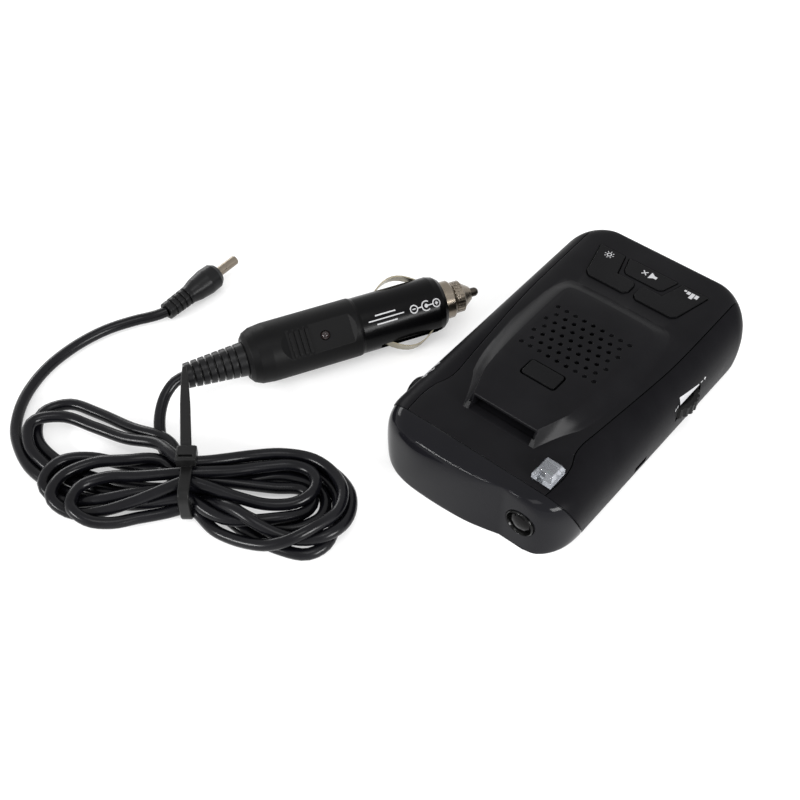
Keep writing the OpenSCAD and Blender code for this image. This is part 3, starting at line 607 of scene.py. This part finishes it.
# Height of the case's side above the table, and how far it is drawn in there
LEVELS = [(0, 2.4), (0.5, 1.6), (1.6, 1), (5, 0.35), (11, 0), (15, 0.35), (18, 1.1), (20.4, 2.3),
          (22.3, 3.9), (23.7, 5.9), (24.6, 8.4), (25.1, 12), (25.3, 20)]
SEAM_RIGHT = [(29, 63), (29, 46), (28.6, 17), (27.7, 5), (26.2, -10), (24.9, -22), (24.2, -29),
              (24.7, -33), (26.3, -37), (27, -41), (27, -45), (26.2, -54)]
NOSE_FRONT = [(-37, -44), (-33.5, -52.5), (-31, -55.5), (-27, -57.6), (-22, -59), (-16, -59.9),
              (-9, -60.2), (-2, -59.8), (5, -58.9), (11, -57.6), (15.2, -56.5), (24, -56.5),
              (28, -55.5), (31, -53.3), (33.5, -50), (37, -43)]
NOSE_CREASE = 10
NOSE_STEPS = 10
PAD_TOP = [(-12, -36), (12, -36), (16.3, -23.5), (17.3, -6), (17.6, 20), (16, 23.5),
           (-16, 23.5), (-17.6, 20), (-17.3, -6), (-16.3, -23.5)]
PAD_FOOT = [(-13.8, -39.5), (13.8, -39.5), (20.5, -23), (23.5, 0), (24, 22), (20.5, 31),
            (-20.5, 31), (-24, 22), (-23.5, 0), (-20.5, -23)]


def case_plan(inset, rear_share, steps=12, straight=8):
    w = HALF_WIDTH - inset
    y1 = REAR_REACH - inset * rear_share
    y0 = -FRONT_REACH + inset * 0.3
    rear = max(2, 12.5 - 0.6 * inset)
    front = max(2, 17 - 0.6 * inset)
    corners = [((w - rear, y1 - rear), rear, 0), ((rear - w, y1 - rear), rear, 90),
               ((front - w, y0 + front), front, 180), ((w - front, y0 + front), front, 270)]
    out = []
    for i, ((cx, cy), r, start) in enumerate(corners):
        for k in range(steps + 1):
            a = math.radians(start + 90 * k / steps)
            out.append((cx + r * math.cos(a), cy + r * math.sin(a)))
        (nx, ny), nr, ns = corners[(i + 1) % 4]
        a = math.radians(ns)
        end = (nx + nr * math.cos(a), ny + nr * math.sin(a))
        here = out[-1]
        for k in range(1, straight):
            t = k / straight
            out.append((here[0] + (end[0] - here[0]) * t, here[1] + (end[1] - here[1]) * t))
    return out


def side_levels(per_span=4):
    curve = curve_through([(*q, 0) for q in LEVELS], per_span)
    return [(max(0.0, p[0]), max(0.0, p[1])) for p in curve]


def lay_level(plan, z, level):
    tilt = math.radians(TOP_SLOPE * level / CROWN)
    return [(x, y * math.cos(tilt), z + y * math.sin(tilt)) for x, y in plan]


def case_form(inner=False):
    shrink = WALL if inner else 0.0
    squeeze = (CROWN - 2 * WALL) / CROWN if inner else 1.0
    rings = []
    for level, inset in side_levels():
        plan = case_plan(inset + shrink, 0.22 if level > 11 else 0.6)
        rings.append(lay_level(plan, shrink + level * squeeze, level))
    return loft(rings)


def nose_side(gap=0.0):
    """Everything in front of the nose seam, which leans back towards the table."""
    lean = math.radians(25)
    verts, faces = box((-50, -40, -40), (50, 0, 20))
    out = []
    for x, y, z in verts:
        out.append((x, y * math.cos(lean) - z * math.sin(lean) - 51 + gap,
                    y * math.sin(lean) + z * math.cos(lean) + 23.5))
    return out, faces


def ray_reach(centre, direction, outline):
    """How far a ray from the centre goes before it leaves a closed outline."""
    c, d = np.array(centre), np.array(direction)
    a = np.array(outline, float)
    b = np.roll(a, -1, 0)
    e = b - a
    det = d[0] * -e[:, 1] + d[1] * e[:, 0]
    det = np.where(abs(det) < 1e-9, 1e-9, det)
    r = a - c
    t = (r[:, 0] * -e[:, 1] + r[:, 1] * e[:, 0]) / det
    s = (d[0] * r[:, 1] - d[1] * r[:, 0]) / det
    ok = (t > 0) & (s >= -1e-6) & (s <= 1 + 1e-6)
    return t[ok].min()


NOSE_CENTRE = (0.0, -30.0)
NOSE_ROUNDING = 1.6


def nose_outline():
    left = curve_through(NOSE_FRONT[:NOSE_CREASE + 1], NOSE_STEPS)
    right = curve_through(NOSE_FRONT[NOSE_CREASE + 1:], NOSE_STEPS)
    flat = [np.array(NOSE_FRONT[NOSE_CREASE]) * (1 - t) + np.array(NOSE_FRONT[NOSE_CREASE + 1]) * t
            for t in (0.2, 0.4, 0.6, 0.8)]
    return [tuple(p[:2]) for p in left + flat + right]


def nose_form(shrink=0.0):
    """The case's own form and the nose's front, run into each other with a rounded edge."""
    front = nose_outline()
    closed = front + [(37, -20), (-37, -20)]
    aims = []
    for p in front:
        d = np.array(p) - np.array(NOSE_CENTRE)
        aims.append(d / np.linalg.norm(d))
    rings = []
    squeeze = (CROWN - 2 * WALL) / CROWN if shrink else 1.0
    for level, inset in side_levels(10):
        plan = case_plan(inset + shrink, 0.22)
        ring = []
        for d in aims:
            a = ray_reach(NOSE_CENTRE, d, closed) - shrink
            b = ray_reach(NOSE_CENTRE, d, plan)
            h = max(NOSE_ROUNDING - abs(a - b), 0) / NOSE_ROUNDING
            r = min(a, b) - h * h * NOSE_ROUNDING / 4
            ring.append((NOSE_CENTRE[0] + d[0] * r, NOSE_CENTRE[1] + d[1] * r))
        rings.append(lay_level(ring, shrink + level * squeeze, level))
    grid = np.array(rings)
    crease = NOSE_STEPS * NOSE_CREASE
    for _ in range(16):
        calm = grid.copy()
        calm[1:-1] = calm[1:-1] * 0.5 + (grid[:-2] + grid[2:]) * 0.25
        calm[:, 1:-1] = calm[:, 1:-1] * 0.5 + (calm[:, :-2] + calm[:, 2:]) * 0.25
        calm[:, crease, :2] = grid[:, crease, :2]
        calm[0], calm[-1] = grid[0], grid[-1]
        grid = calm
    closed_rings = []
    for ring in grid:
        closed_rings.append([tuple(p) for p in ring] + [(ring[-1][0], -34.0, ring[-1][2]),
                                                        (ring[0][0], -34.0, ring[0][2])])
    return loft(closed_rings)


def seam_outline(grow):
    right = [tuple(p[:2]) for p in curve_through(SEAM_RIGHT, 5)]
    return [(x + grow, y) for x, y in right] + [(-x - grow, y) for x, y in reversed(right)]


def pad_form():
    """Mounting pad: creased facets beside the slot, soft slopes behind."""
    per_side = 8
    steps = 14
    s_curve = [(-0.35, 24.55), (-0.12, 25.2), (0.1, 25.75), (0.35, 26.6), (0.6, 27.5), (0.8, 28.15),
               (0.93, 28.5), (1.0, 28.66)]
    soft = curve_through(s_curve, 2)
    shares = [k / steps for k in range(steps + 1)]

    def side_point(i, u, t):
        j = (i + 1) % len(PAD_TOP)
        top_a, top_b = np.array(PAD_TOP[i]), np.array(PAD_TOP[j])
        foot_a, foot_b = np.array(PAD_FOOT[i]), np.array(PAD_FOOT[j])
        k = t * (len(soft) - 1)
        low = min(int(k), len(soft) - 2)
        h, z_soft = np.array(soft[low]) * (1 - k + low) + np.array(soft[low + 1]) * (k - low)
        z_flat = PAD_FOOT_HEIGHT + (PAD_HEIGHT - PAD_FOOT_HEIGHT) * t
        plain = (foot_a * (1 - u) + foot_b * u) * (1 - h) + (top_a * (1 - u) + top_b * u) * h
        if i == 0:
            flat = (foot_a * (1 - u) + foot_b * u) * (1 - t) + (top_a * (1 - u) + top_b * u) * t
            return (*flat, z_flat)
        if i in (1, len(PAD_TOP) - 1):
            v = u if i == 1 else 1 - u
            fa, fb, ta, tb = foot_a, foot_b, top_a, top_b
            if i != 1:
                fa, fb, ta, tb = foot_b, foot_a, top_b, top_a
            if t >= v:
                facet = fa * (1 - t) + ta * (t - v) + tb * v
            else:
                facet = fa * (1 - v) + fb * (v - t) + tb * t
            blend = v ** 3
            return (*(facet * (1 - blend) + plain * blend), z_flat * (1 - blend) + z_soft * blend)
        return (*plain, z_soft)

    rings = []
    for t in shares:
        ring = []
        for i in range(len(PAD_TOP)):
            for k in range(per_side):
                ring.append(side_point(i, k / per_side, t))
        rings.append(ring)
    # soften the corners behind the slot, along the ring
    for ring in rings:
        n = len(ring)
        for _ in range(6):
            old = [np.array(p) for p in ring]
            for i in range(n):
                corner = i / per_side
                if 1.99 < corner < len(PAD_TOP) - 0.99:
                    ring[i] = tuple(old[i] * 0.5 + (old[i - 1] + old[(i + 1) % n]) * 0.25)
    rings.insert(0, [(x, y, 22.6) for x, y, _ in rings[0]])
    return loft(rings)


def grille_holes():
    """Rows of nine and eight holes by turns; the outer ones are only dimples."""
    parts = []
    for row in range(7):
        count = 9 if row % 2 == 0 else 8
        y = -8.2 + row * ROW_PITCH
        for i in range(count):
            x = (i - (count - 1) / 2) * HOLE_PITCH
            deep = 3.0 if math.hypot(x, y - SPEAKER_CENTRE[1]) < 11.5 else 0.7
            parts.append(rod((x, y), "z", 0.85, PAD_HEIGHT - deep, 32, 16))
    return several(parts)


KEY_LEFT = [(-21.4, 49.4), (-17.8, 35.2), (-16.2, 33.7), (-2.6, 33.7), (-1.2, 35.2), (-1.2, 38.9),
            (-2.4, 40.2), (-8.9, 40.2), (-11.5, 49.4)]
KEY_MIDDLE = [(-9.6, 49.4), (-7.6, 43.1), (-6.4, 42.2), (6.4, 42.2), (7.6, 43.1), (9.6, 49.4)]
KEY_RIGHT = [(-x, y) for x, y in reversed(KEY_LEFT)]
BUTTON_Y = -16.0


def offset_plan(plan, d):
    """The outline moved outwards by d, for an outline of either turn."""
    p = np.array(plan, float)
    area = sum(a[0] * b[1] - b[0] * a[1] for a, b in zip(p, np.roll(p, -1, 0)))
    turn = 1 if area > 0 else -1
    out = []
    for i in range(len(p)):
        a, b, c = p[i - 1], p[i], p[(i + 1) % len(p)]
        e1 = (b - a) / max(np.linalg.norm(b - a), 1e-9)
        e2 = (c - b) / max(np.linalg.norm(c - b), 1e-9)
        n1 = np.array([e1[1], -e1[0]]) * turn
        n2 = np.array([e2[1], -e2[0]]) * turn
        m = n1 + n2
        m /= max(np.linalg.norm(m), 1e-9)
        out.append(tuple(b + m * d / max(m @ n1, 0.5)))
    return out


def to_piece(work, name, slot, smooth=30.0):
    """A finished cut solid in millimetres becomes a piece."""
    work.data.transform(Matrix.Scale(MM, 4))
    fresh = bmesh.new()
    fresh.from_mesh(work.data)
    bmesh.ops.remove_doubles(fresh, verts=fresh.verts, dist=0.000002)
    bmesh.ops.dissolve_degenerate(fresh, dist=0.000001, edges=fresh.edges)
    fresh.to_mesh(work.data)
    fresh.free()
    work.name = name
    work.data.name = name
    dress(work, slot, ROOT, smooth)


def slot_edge(lean, depth):
    """One narrow facet of the rounded upper edge of the bracket slot."""
    verts, faces = box((-12.4, -3, 0), (12.4, 3, 4))
    c, d = math.cos(math.radians(lean)), math.sin(math.radians(lean))
    out = []
    for x, y, z in verts:
        b = z - depth
        out.append((x, SLOT_MOUTH + y * c - b * d, PAD_HEIGHT + y * d + b * c))
    return out, faces


def build_case(body):
    """The lower case: its shell below the seam, with its openings and the jack's raised rim."""
    cut(body, rough_part(*prism(seam_outline(0.0), SEAM_HEIGHT, ABOVE_ALL)))
    cut(body, rough_part(*box((-26, 50, 7), (26, 70, 22))))
    cut(body, rough_part(*rod(WHEEL_CENTRE, "z", 9.8, 9.8, 15.2, 64)))
    boss = [(5.9, 0.9), (5.6, -0.1), (4.9, -0.9), (4.5, -1.35), (4.2, -1.5)]
    rings = [[(x - HALF_WIDTH, JACK_CENTRE[0] + r * math.cos(a), JACK_CENTRE[1] + r * math.sin(a))
              for a in (2 * math.pi * k / 48 for k in range(48))] for r, x in boss]
    cut(body, rough_part(*loft(rings)), "UNION")
    cut(body, rough_part(*rod(JACK_CENTRE, "x", 3.4, -42, -32, 48)))
    cut(body, rough_part(*box((HALF_WIDTH - 1.4, -12.5, 4.2), (HALF_WIDTH + 2, -6, 7))))
    cut(body, rough_part(*box((-19.2, -1.2, -1), (19.2, 25.2, 0.5))))
    for centre in FOOT_SCREWS:
        cut(body, rough_part(*rod(centre, "z", 2.9, -1, 2.6)))
    to_piece(body, "case_shell", "case")
    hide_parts("case_body")


def build_cover(cover):
    """The cover: the shell above the seam and its mounting pad, with slot, grille and keys."""
    cut(cover, rough_part(*prism(seam_outline(-0.32), SEAM_HEIGHT + 0.08, ABOVE_ALL)), "INTERSECT")
    pad = rough_part(*pad_form())
    cut(pad, rough_part(*box((-40, -60, -20), (40, 70, 22.7))))
    cut(cover, pad, "UNION")
    cut(cover, rough_part(*box((-SLOT_HALF_WIDTH, -36, 23.95),
                               (SLOT_HALF_WIDTH, -21.6, PAD_HEIGHT - 1.2))))
    cut(cover, rough_part(*box((-SLOT_HALF_WIDTH, -46, 24.2), (SLOT_HALF_WIDTH, SLOT_MOUTH, 40))))
    for lean, depth in ((22, 0.14), (45, 0.2), (68, 0.14)):
        cut(cover, rough_part(*slot_edge(lean, depth)))
    cut(cover, rough_part(*rod(SPEAKER_CENTRE, "z", 12.3, 15, PAD_HEIGHT - 1.4, 64)))
    cut(cover, rough_part(*grille_holes()))
    for plan in (KEY_LEFT, KEY_MIDDLE, KEY_RIGHT):
        cut(cover, rough_part(*prism(rounded(offset_plan(plan, 0.35), 1.0), 20, 40)))
    front, back = BUTTON_Y - 3.2, BUTTON_Y + 3.2
    button = [(-6.2, front), (6.2, front), (6.2, back), (-6.2, back)]
    cut(cover, rough_part(*prism(rounded(offset_plan(button, 0.6), 1.4), 15, 40)))
    cut(cover, rough_part(*box((-3.4, -29.4, 15), (3.4, -25.6, 24.6))))
    x, y = PRISM_CENTRE
    cut(cover, rough_part(*box((x - 3.6, y - 3.9, 20), (x + 3.6, y + 3.9, 40))))
    to_piece(cover, "cover_shell", "cover")
    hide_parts("top_cover")


def build_nose():
    """The polished front cap, hollow, with the stepped hole of the lens."""
    nose = rough_part(*nose_form())
    cut(nose, rough_part(*nose_side(0.0)), "INTERSECT")
    cut(nose, rough_part(*nose_form(WALL)))
    cut(nose, rough_part(*rod(LENS_CENTRE, "y", 5.05, -70, -50, 64)))
    cut(nose, rough_part(*rod(LENS_CENTRE, "y", 5.9, -54.6, -50, 64)))
    to_piece(nose, "nose_shell", "nose", 55.0)
    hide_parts("nose_cover")


def build_shells():
    shell = rough_part(*case_form())
    cut(shell, rough_part(*case_form(True)))
    cut(shell, rough_part(*nose_side(0.12)))
    build_case(copy_of(shell))
    build_cover(shell)
    build_nose()


build_shells()


# ---------------------------------------------------------------- print and small graphics


def surface_of(pieces):
    """One searchable surface, in metres, made of finished pieces and CAD nodes."""
    verts, faces = [], []
    for obj in pieces:
        start = len(verts)
        verts += [obj.matrix_world @ v.co for v in obj.data.vertices]
        faces += [[i + start for i in p.vertices] for p in obj.data.polygons]
    return BVHTree.FromPolygons(verts, faces)


def print_on(name, strokes, surface, lay, body=ROOT):
    """Raised print: each stroke is a path with a width, laid onto the surface it faces."""
    parts = []
    for path, width in strokes:
        widths = width if isinstance(width, (list, tuple)) else [width] * len(path)
        p = np.array(path, float)
        rings = []
        for i in range(len(p)):
            run = p[min(i + 1, len(p) - 1)] - p[max(i - 1, 0)]
            side = np.array([-run[1], run[0]]) / max(np.linalg.norm(run), 1e-9) * widths[i] / 2
            ring = []
            for q, lift in ((p[i] + side, 0.035), (p[i] - side, 0.035), (p[i] - side, -0.08),
                            (p[i] + side, -0.08)):
                start, aim = lay(*q)
                hit, normal, _, _ = surface.ray_cast(Vector(start) * MM, Vector(aim))
                if hit is None:
                    hit, normal = Vector(start) * MM, -Vector(aim)
                ring.append(tuple(np.array(hit) / MM + np.array(normal) * lift))
            rings.append(ring)
        parts.append(loft(rings))
    make_print(name, *several(parts), body)


def circle_path(x, y, r, start=0, end=360, steps=16):
    angles = [math.radians(start + (end - start) * k / steps) for k in range(steps + 1)]
    return [(x + r * math.cos(a), y + r * math.sin(a)) for a in angles]


def block(x0, y0, x1, y1):
    middle = (y0 + y1) / 2
    return [(x0, middle), ((x0 + x1) / 2, middle), (x1, middle)], abs(y1 - y0)


def downward(x, y):
    return (x, y, 40), (0, 0, -1)


def key_symbols():
    # The labels face a reader at the nose, so up is towards -Y
    node = frame["nodes"]
    dim = [(circle_path(-16.2, 46.5, 0.75), 0.32)]
    for k in range(8):
        a = math.radians(45 * k)
        dim.append(([(-16.2 + 1.25 * math.cos(a), 46.5 + 1.25 * math.sin(a)),
                     (-16.2 + 1.75 * math.cos(a), 46.5 + 1.75 * math.sin(a))], 0.28))
    print_on("symbol_dim", dim, surface_of([node["key_left"]]), downward, body="key_left")
    mute = [block(1.9, 45.9, 3.0, 47.1), ([(1.9, 46.5), (0.9, 46.5), (0.3, 46.5)], [1.2, 2.6, 3.2]),
            ([(-0.8, 45.6), (-2.6, 47.4)], 0.36), ([(-2.6, 45.6), (-0.8, 47.4)], 0.36)]
    print_on("symbol_mute", mute, surface_of([node["key_middle"]]), downward, body="key_middle")
    city = [block(17.6, 48.0, 18.8, 46.2), block(16.0, 48.0, 17.3, 45.2),
            block(14.5, 48.0, 15.7, 46.6), block(13.3, 48.0, 14.2, 47.2)]
    print_on("symbol_city", city, surface_of([node["key_right"]]), downward, body="key_right")


def side_print(shell):
    surface = surface_of([shell])

    def from_right(y, z):
        return (60, y, z), (-1, 0, 0)

    def from_left(y, z):
        return (-60, y, z), (1, 0, 0)

    wedge = []
    for share in (0.1, 0.3, 0.5, 0.7, 0.9):
        path = []
        widths = []
        for t in (0, 0.2, 0.4, 0.6, 0.8, 1):
            tall = 3.0 - 2.5 * t
            path.append((12.0 + 11.5 * t, 15.7 + tall * share))
            widths.append(tall * 0.22)
        wedge.append((path, widths))
    print_on("volume_wedge", wedge, surface, from_right)
    ticks = [([(10.2, 15.6), (10.8, 16.4)], 0.35), ([(9.0, 15.2), (9.6, 16.0)], 0.35),
             ([(24.6, 15.9), (25.8, 15.9)], 0.35), ([(26.6, 15.9), (27.8, 15.9)], 0.35),
             ([(27.2, 15.3), (27.2, 16.5)], 0.35)]
    print_on("volume_ticks", ticks, surface, from_right)
    marks = [(circle_path(-27.5, 20.5, 0.8), 0.35), ([(-27.9, 20.5), (-27.1, 20.5)], 0.3),
             ([(-28.4, 20.5), (-29.6, 20.5)], 0.3),
             (circle_path(-30.8, 20.5, 1.1, 40, 320), 0.3), (circle_path(-30.8, 20.5, 0.25), 0.4),
             ([(-31.2, 20.5), (-33.4, 20.5)], 0.3),
             (circle_path(-34.3, 20.5, 0.8), 0.3), ([(-34.7, 20.5), (-33.9, 20.5)], 0.3),
             ([(-34.3, 20.1), (-34.3, 20.9)], 0.3)]
    print_on("polarity_marks", marks, surface, from_left)


def plug_print():
    """Fuse symbol and polarity marks on the polished front half of the power plug."""
    surface = surface_of([frame["nodes"]["plug_shell_upper"], frame["nodes"]["plug_shell_lower"]])

    def round_plug(s, t):
        angle = t / 9.5
        out = W * math.cos(angle) + V * -math.sin(angle)
        start = PLUG_ORIGIN + U * s + out * 20
        return tuple(start), tuple(-out)

    fuse = [([(42.5, 0), (45.5, 0), (49, 0), (52.5, 0), (55.5, 0)], 0.4),
            ([(45.3, -1.5), (49, -1.5), (52.7, -1.5)], 0.45),
            ([(45.3, 1.5), (49, 1.5), (52.7, 1.5)], 0.45),
            ([(45.5, -1.5), (45.5, 1.5)], 0.45), ([(52.5, -1.5), (52.5, 1.5)], 0.45)]
    polarity = [(circle_path(59.2, 0, 1.3), 0.4), ([(58.6, 0), (59.8, 0)], 0.4),
                ([(60.5, 0), (62.2, 0)], 0.4), (circle_path(63.8, 0, 1.6, 50, 310), 0.4),
                (circle_path(63.8, 0, 0.35), 0.6), ([(64.3, 0), (66.3, 0)], 0.4),
                (circle_path(67.6, 0, 1.3), 0.4), ([(67.0, 0), (68.2, 0)], 0.4),
                ([(67.6, -0.6), (67.6, 0.6)], 0.4)]
    print_on("plug_print", fuse + polarity, surface, round_plug)


key_symbols()
side_print(bpy.data.objects["case_shell"])
plug_print()

# ---------------------------------------------------------------- cable tie

TIE_WIDTH = 3.6
TIE_GAUGE = 1.2
TIE_SPAN = 20.0
HANK_HEIGHT = 12.6


def tie_frame(points):
    """Points given along, across and above the tie, in the shared frame."""
    return [(*(TIE + TIE_ALONG * a + TIE_ACROSS * b), z) for a, b, z in points]


def strap_section(width, gauge):
    w, g, c = width / 2, gauge / 2, min(0.35, gauge * 0.3)
    return [(-w, -g + c), (-w + c, -g), (w - c, -g), (w, -g + c),
            (w, g - c), (w - c, g), (-w + c, g), (-w, g - c)]


def build_tie():
    half, top, g = TIE_SPAN / 2 + TIE_GAUGE / 2, HANK_HEIGHT + TIE_GAUGE / 2, TIE_GAUGE
    corners = [(-half, g / 2), (half, g / 2), (half, top), (-half, top)]
    loop = rounded(corners, 3.4, 8)
    rings = []
    n = len(loop)
    for i in range(n):
        a, b = np.array(loop[i - 1]), np.array(loop[(i + 1) % n])
        run = (b - a) / np.linalg.norm(b - a)
        out = np.array([run[1], -run[0]])
        ring = []
        for w, h in strap_section(TIE_WIDTH, TIE_GAUGE):
            q = np.array(loop[i]) + out * h
            ring.append((w, q[0], q[1]))
        rings.append(tie_frame(ring))
    rings.append(rings[0])
    strap = loft(rings, False)

    # Head: a chamfered block with the slot its tail comes through
    rings = []
    for z, inset in ((0.9, 0.5), (1.4, 0), (4.3, 0), (4.8, 0.5)):
        plan = rounded([(-3.2 + inset, 0.6 + inset), (3.2 - inset, 0.6 + inset),
                        (3.2 - inset, 6.6 - inset), (-3.2 + inset, 6.6 - inset)], 0.7, 3)
        rings.append(tie_frame([(x, y, HANK_HEIGHT + z) for x, y in plan]))
    head = rough_part(*loft(rings))
    slot = [(x, y, z) for z in (HANK_HEIGHT + 3.9, HANK_HEIGHT + 6) for x, y in
            ((-2.2, 1.6), (2.2, 1.6), (2.2, 2.6), (-2.2, 2.6))]
    tool = rough_part(*loft([tie_frame(slot[:4]), tie_frame(slot[4:])]))
    cut(head, tool)

    # Tail: tapers to its tip, with fine teeth along its inner face
    lean, turn = math.radians(0.6), math.radians(7)
    rings = []
    for i in range(81):
        s = 38.0 * i / 80
        width = np.interp(s, [0, 22, 33, 38], [3.6, 3.3, 2.5, 1.5])
        tooth = 0.12 * (i % 2) if 6 < s < 30 else 0.0
        ring = []
        for w, h in strap_section(width, 1.0 - tooth):
            x, y, z = w, s, h + 0.5
            y, z = y * math.cos(lean) - z * math.sin(lean), y * math.sin(lean) + z * math.cos(lean)
            x, y = x * math.cos(turn) - y * math.sin(turn), x * math.sin(turn) + y * math.cos(turn)
            ring.append((x, y + 3, z + HANK_HEIGHT + 2.6))
        rings.append(tie_frame(ring))
    tail = loft(rings)
    body = rough_part(*several([strap, tail]))
    join_solids(body, head)
    to_piece(body, "tie_strap", "tie")
    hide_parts("cable_tie")


def join_solids(first, second):
    """Two closed solids in one mesh, side by side rather than fused."""
    work = bmesh.new()
    work.from_mesh(first.data)
    work.from_mesh(second.data)
    work.to_mesh(first.data)
    work.free()
    bpy.data.objects.remove(second)


build_tie()

# ---------------------------------------------------------------- floor and light


def floor():
    n = Nodes("floor_white")
    broad = n.noise(3.0, 3.0)
    n.set(colour=n.mix(broad, (0.56, 0.56, 0.56, 1), (0.58, 0.58, 0.58, 1)), rough=0.9, spec=0.0)
    n.bsdf.inputs["Emission Color"].default_value = (1.0, 1.0, 1.0, 1.0)
    n.bsdf.inputs["Emission Strength"].default_value = 0.45
    n.bump(broad, 0.02, 0.0001)
    half = 4.0
    mesh = bpy.data.meshes.new("floor")
    mesh.from_pydata([(-half, -half, 0), (half, -half, 0), (half, half, 0), (-half, half, 0)], [],
                     [(0, 1, 2, 3)])
    mesh.materials.append(n.mat)
    plane = bpy.data.objects.new("floor", mesh)
    bpy.context.collection.objects.link(plane)


floor()
world = bpy.data.worlds.new("studio")
bpy.context.scene.world = world
world.use_nodes = True
world.node_tree.nodes["Background"].inputs[0].default_value = (1.0, 1.0, 1.0, 1)
world.node_tree.nodes["Background"].inputs[1].default_value = 0.95
add_light("overhead_soft", (0.3, -0.2, 1.3), (-0.03, -0.03, 0), 0.5, 3.0)
add_light("right_window", (1.05, -0.1, 0.37), (0, -0.03, 0.02), 0.5, 14.0, 0.36)
add_light("front_strip", (-0.36, -1.05, 0.44), (0, -0.05, 0.02), 0.5, 11.0, 0.08)
add_light("left_window", (-1.2, 0.35, 0.35), (-0.03, -0.03, 0), 0.6, 4.0, 0.3)
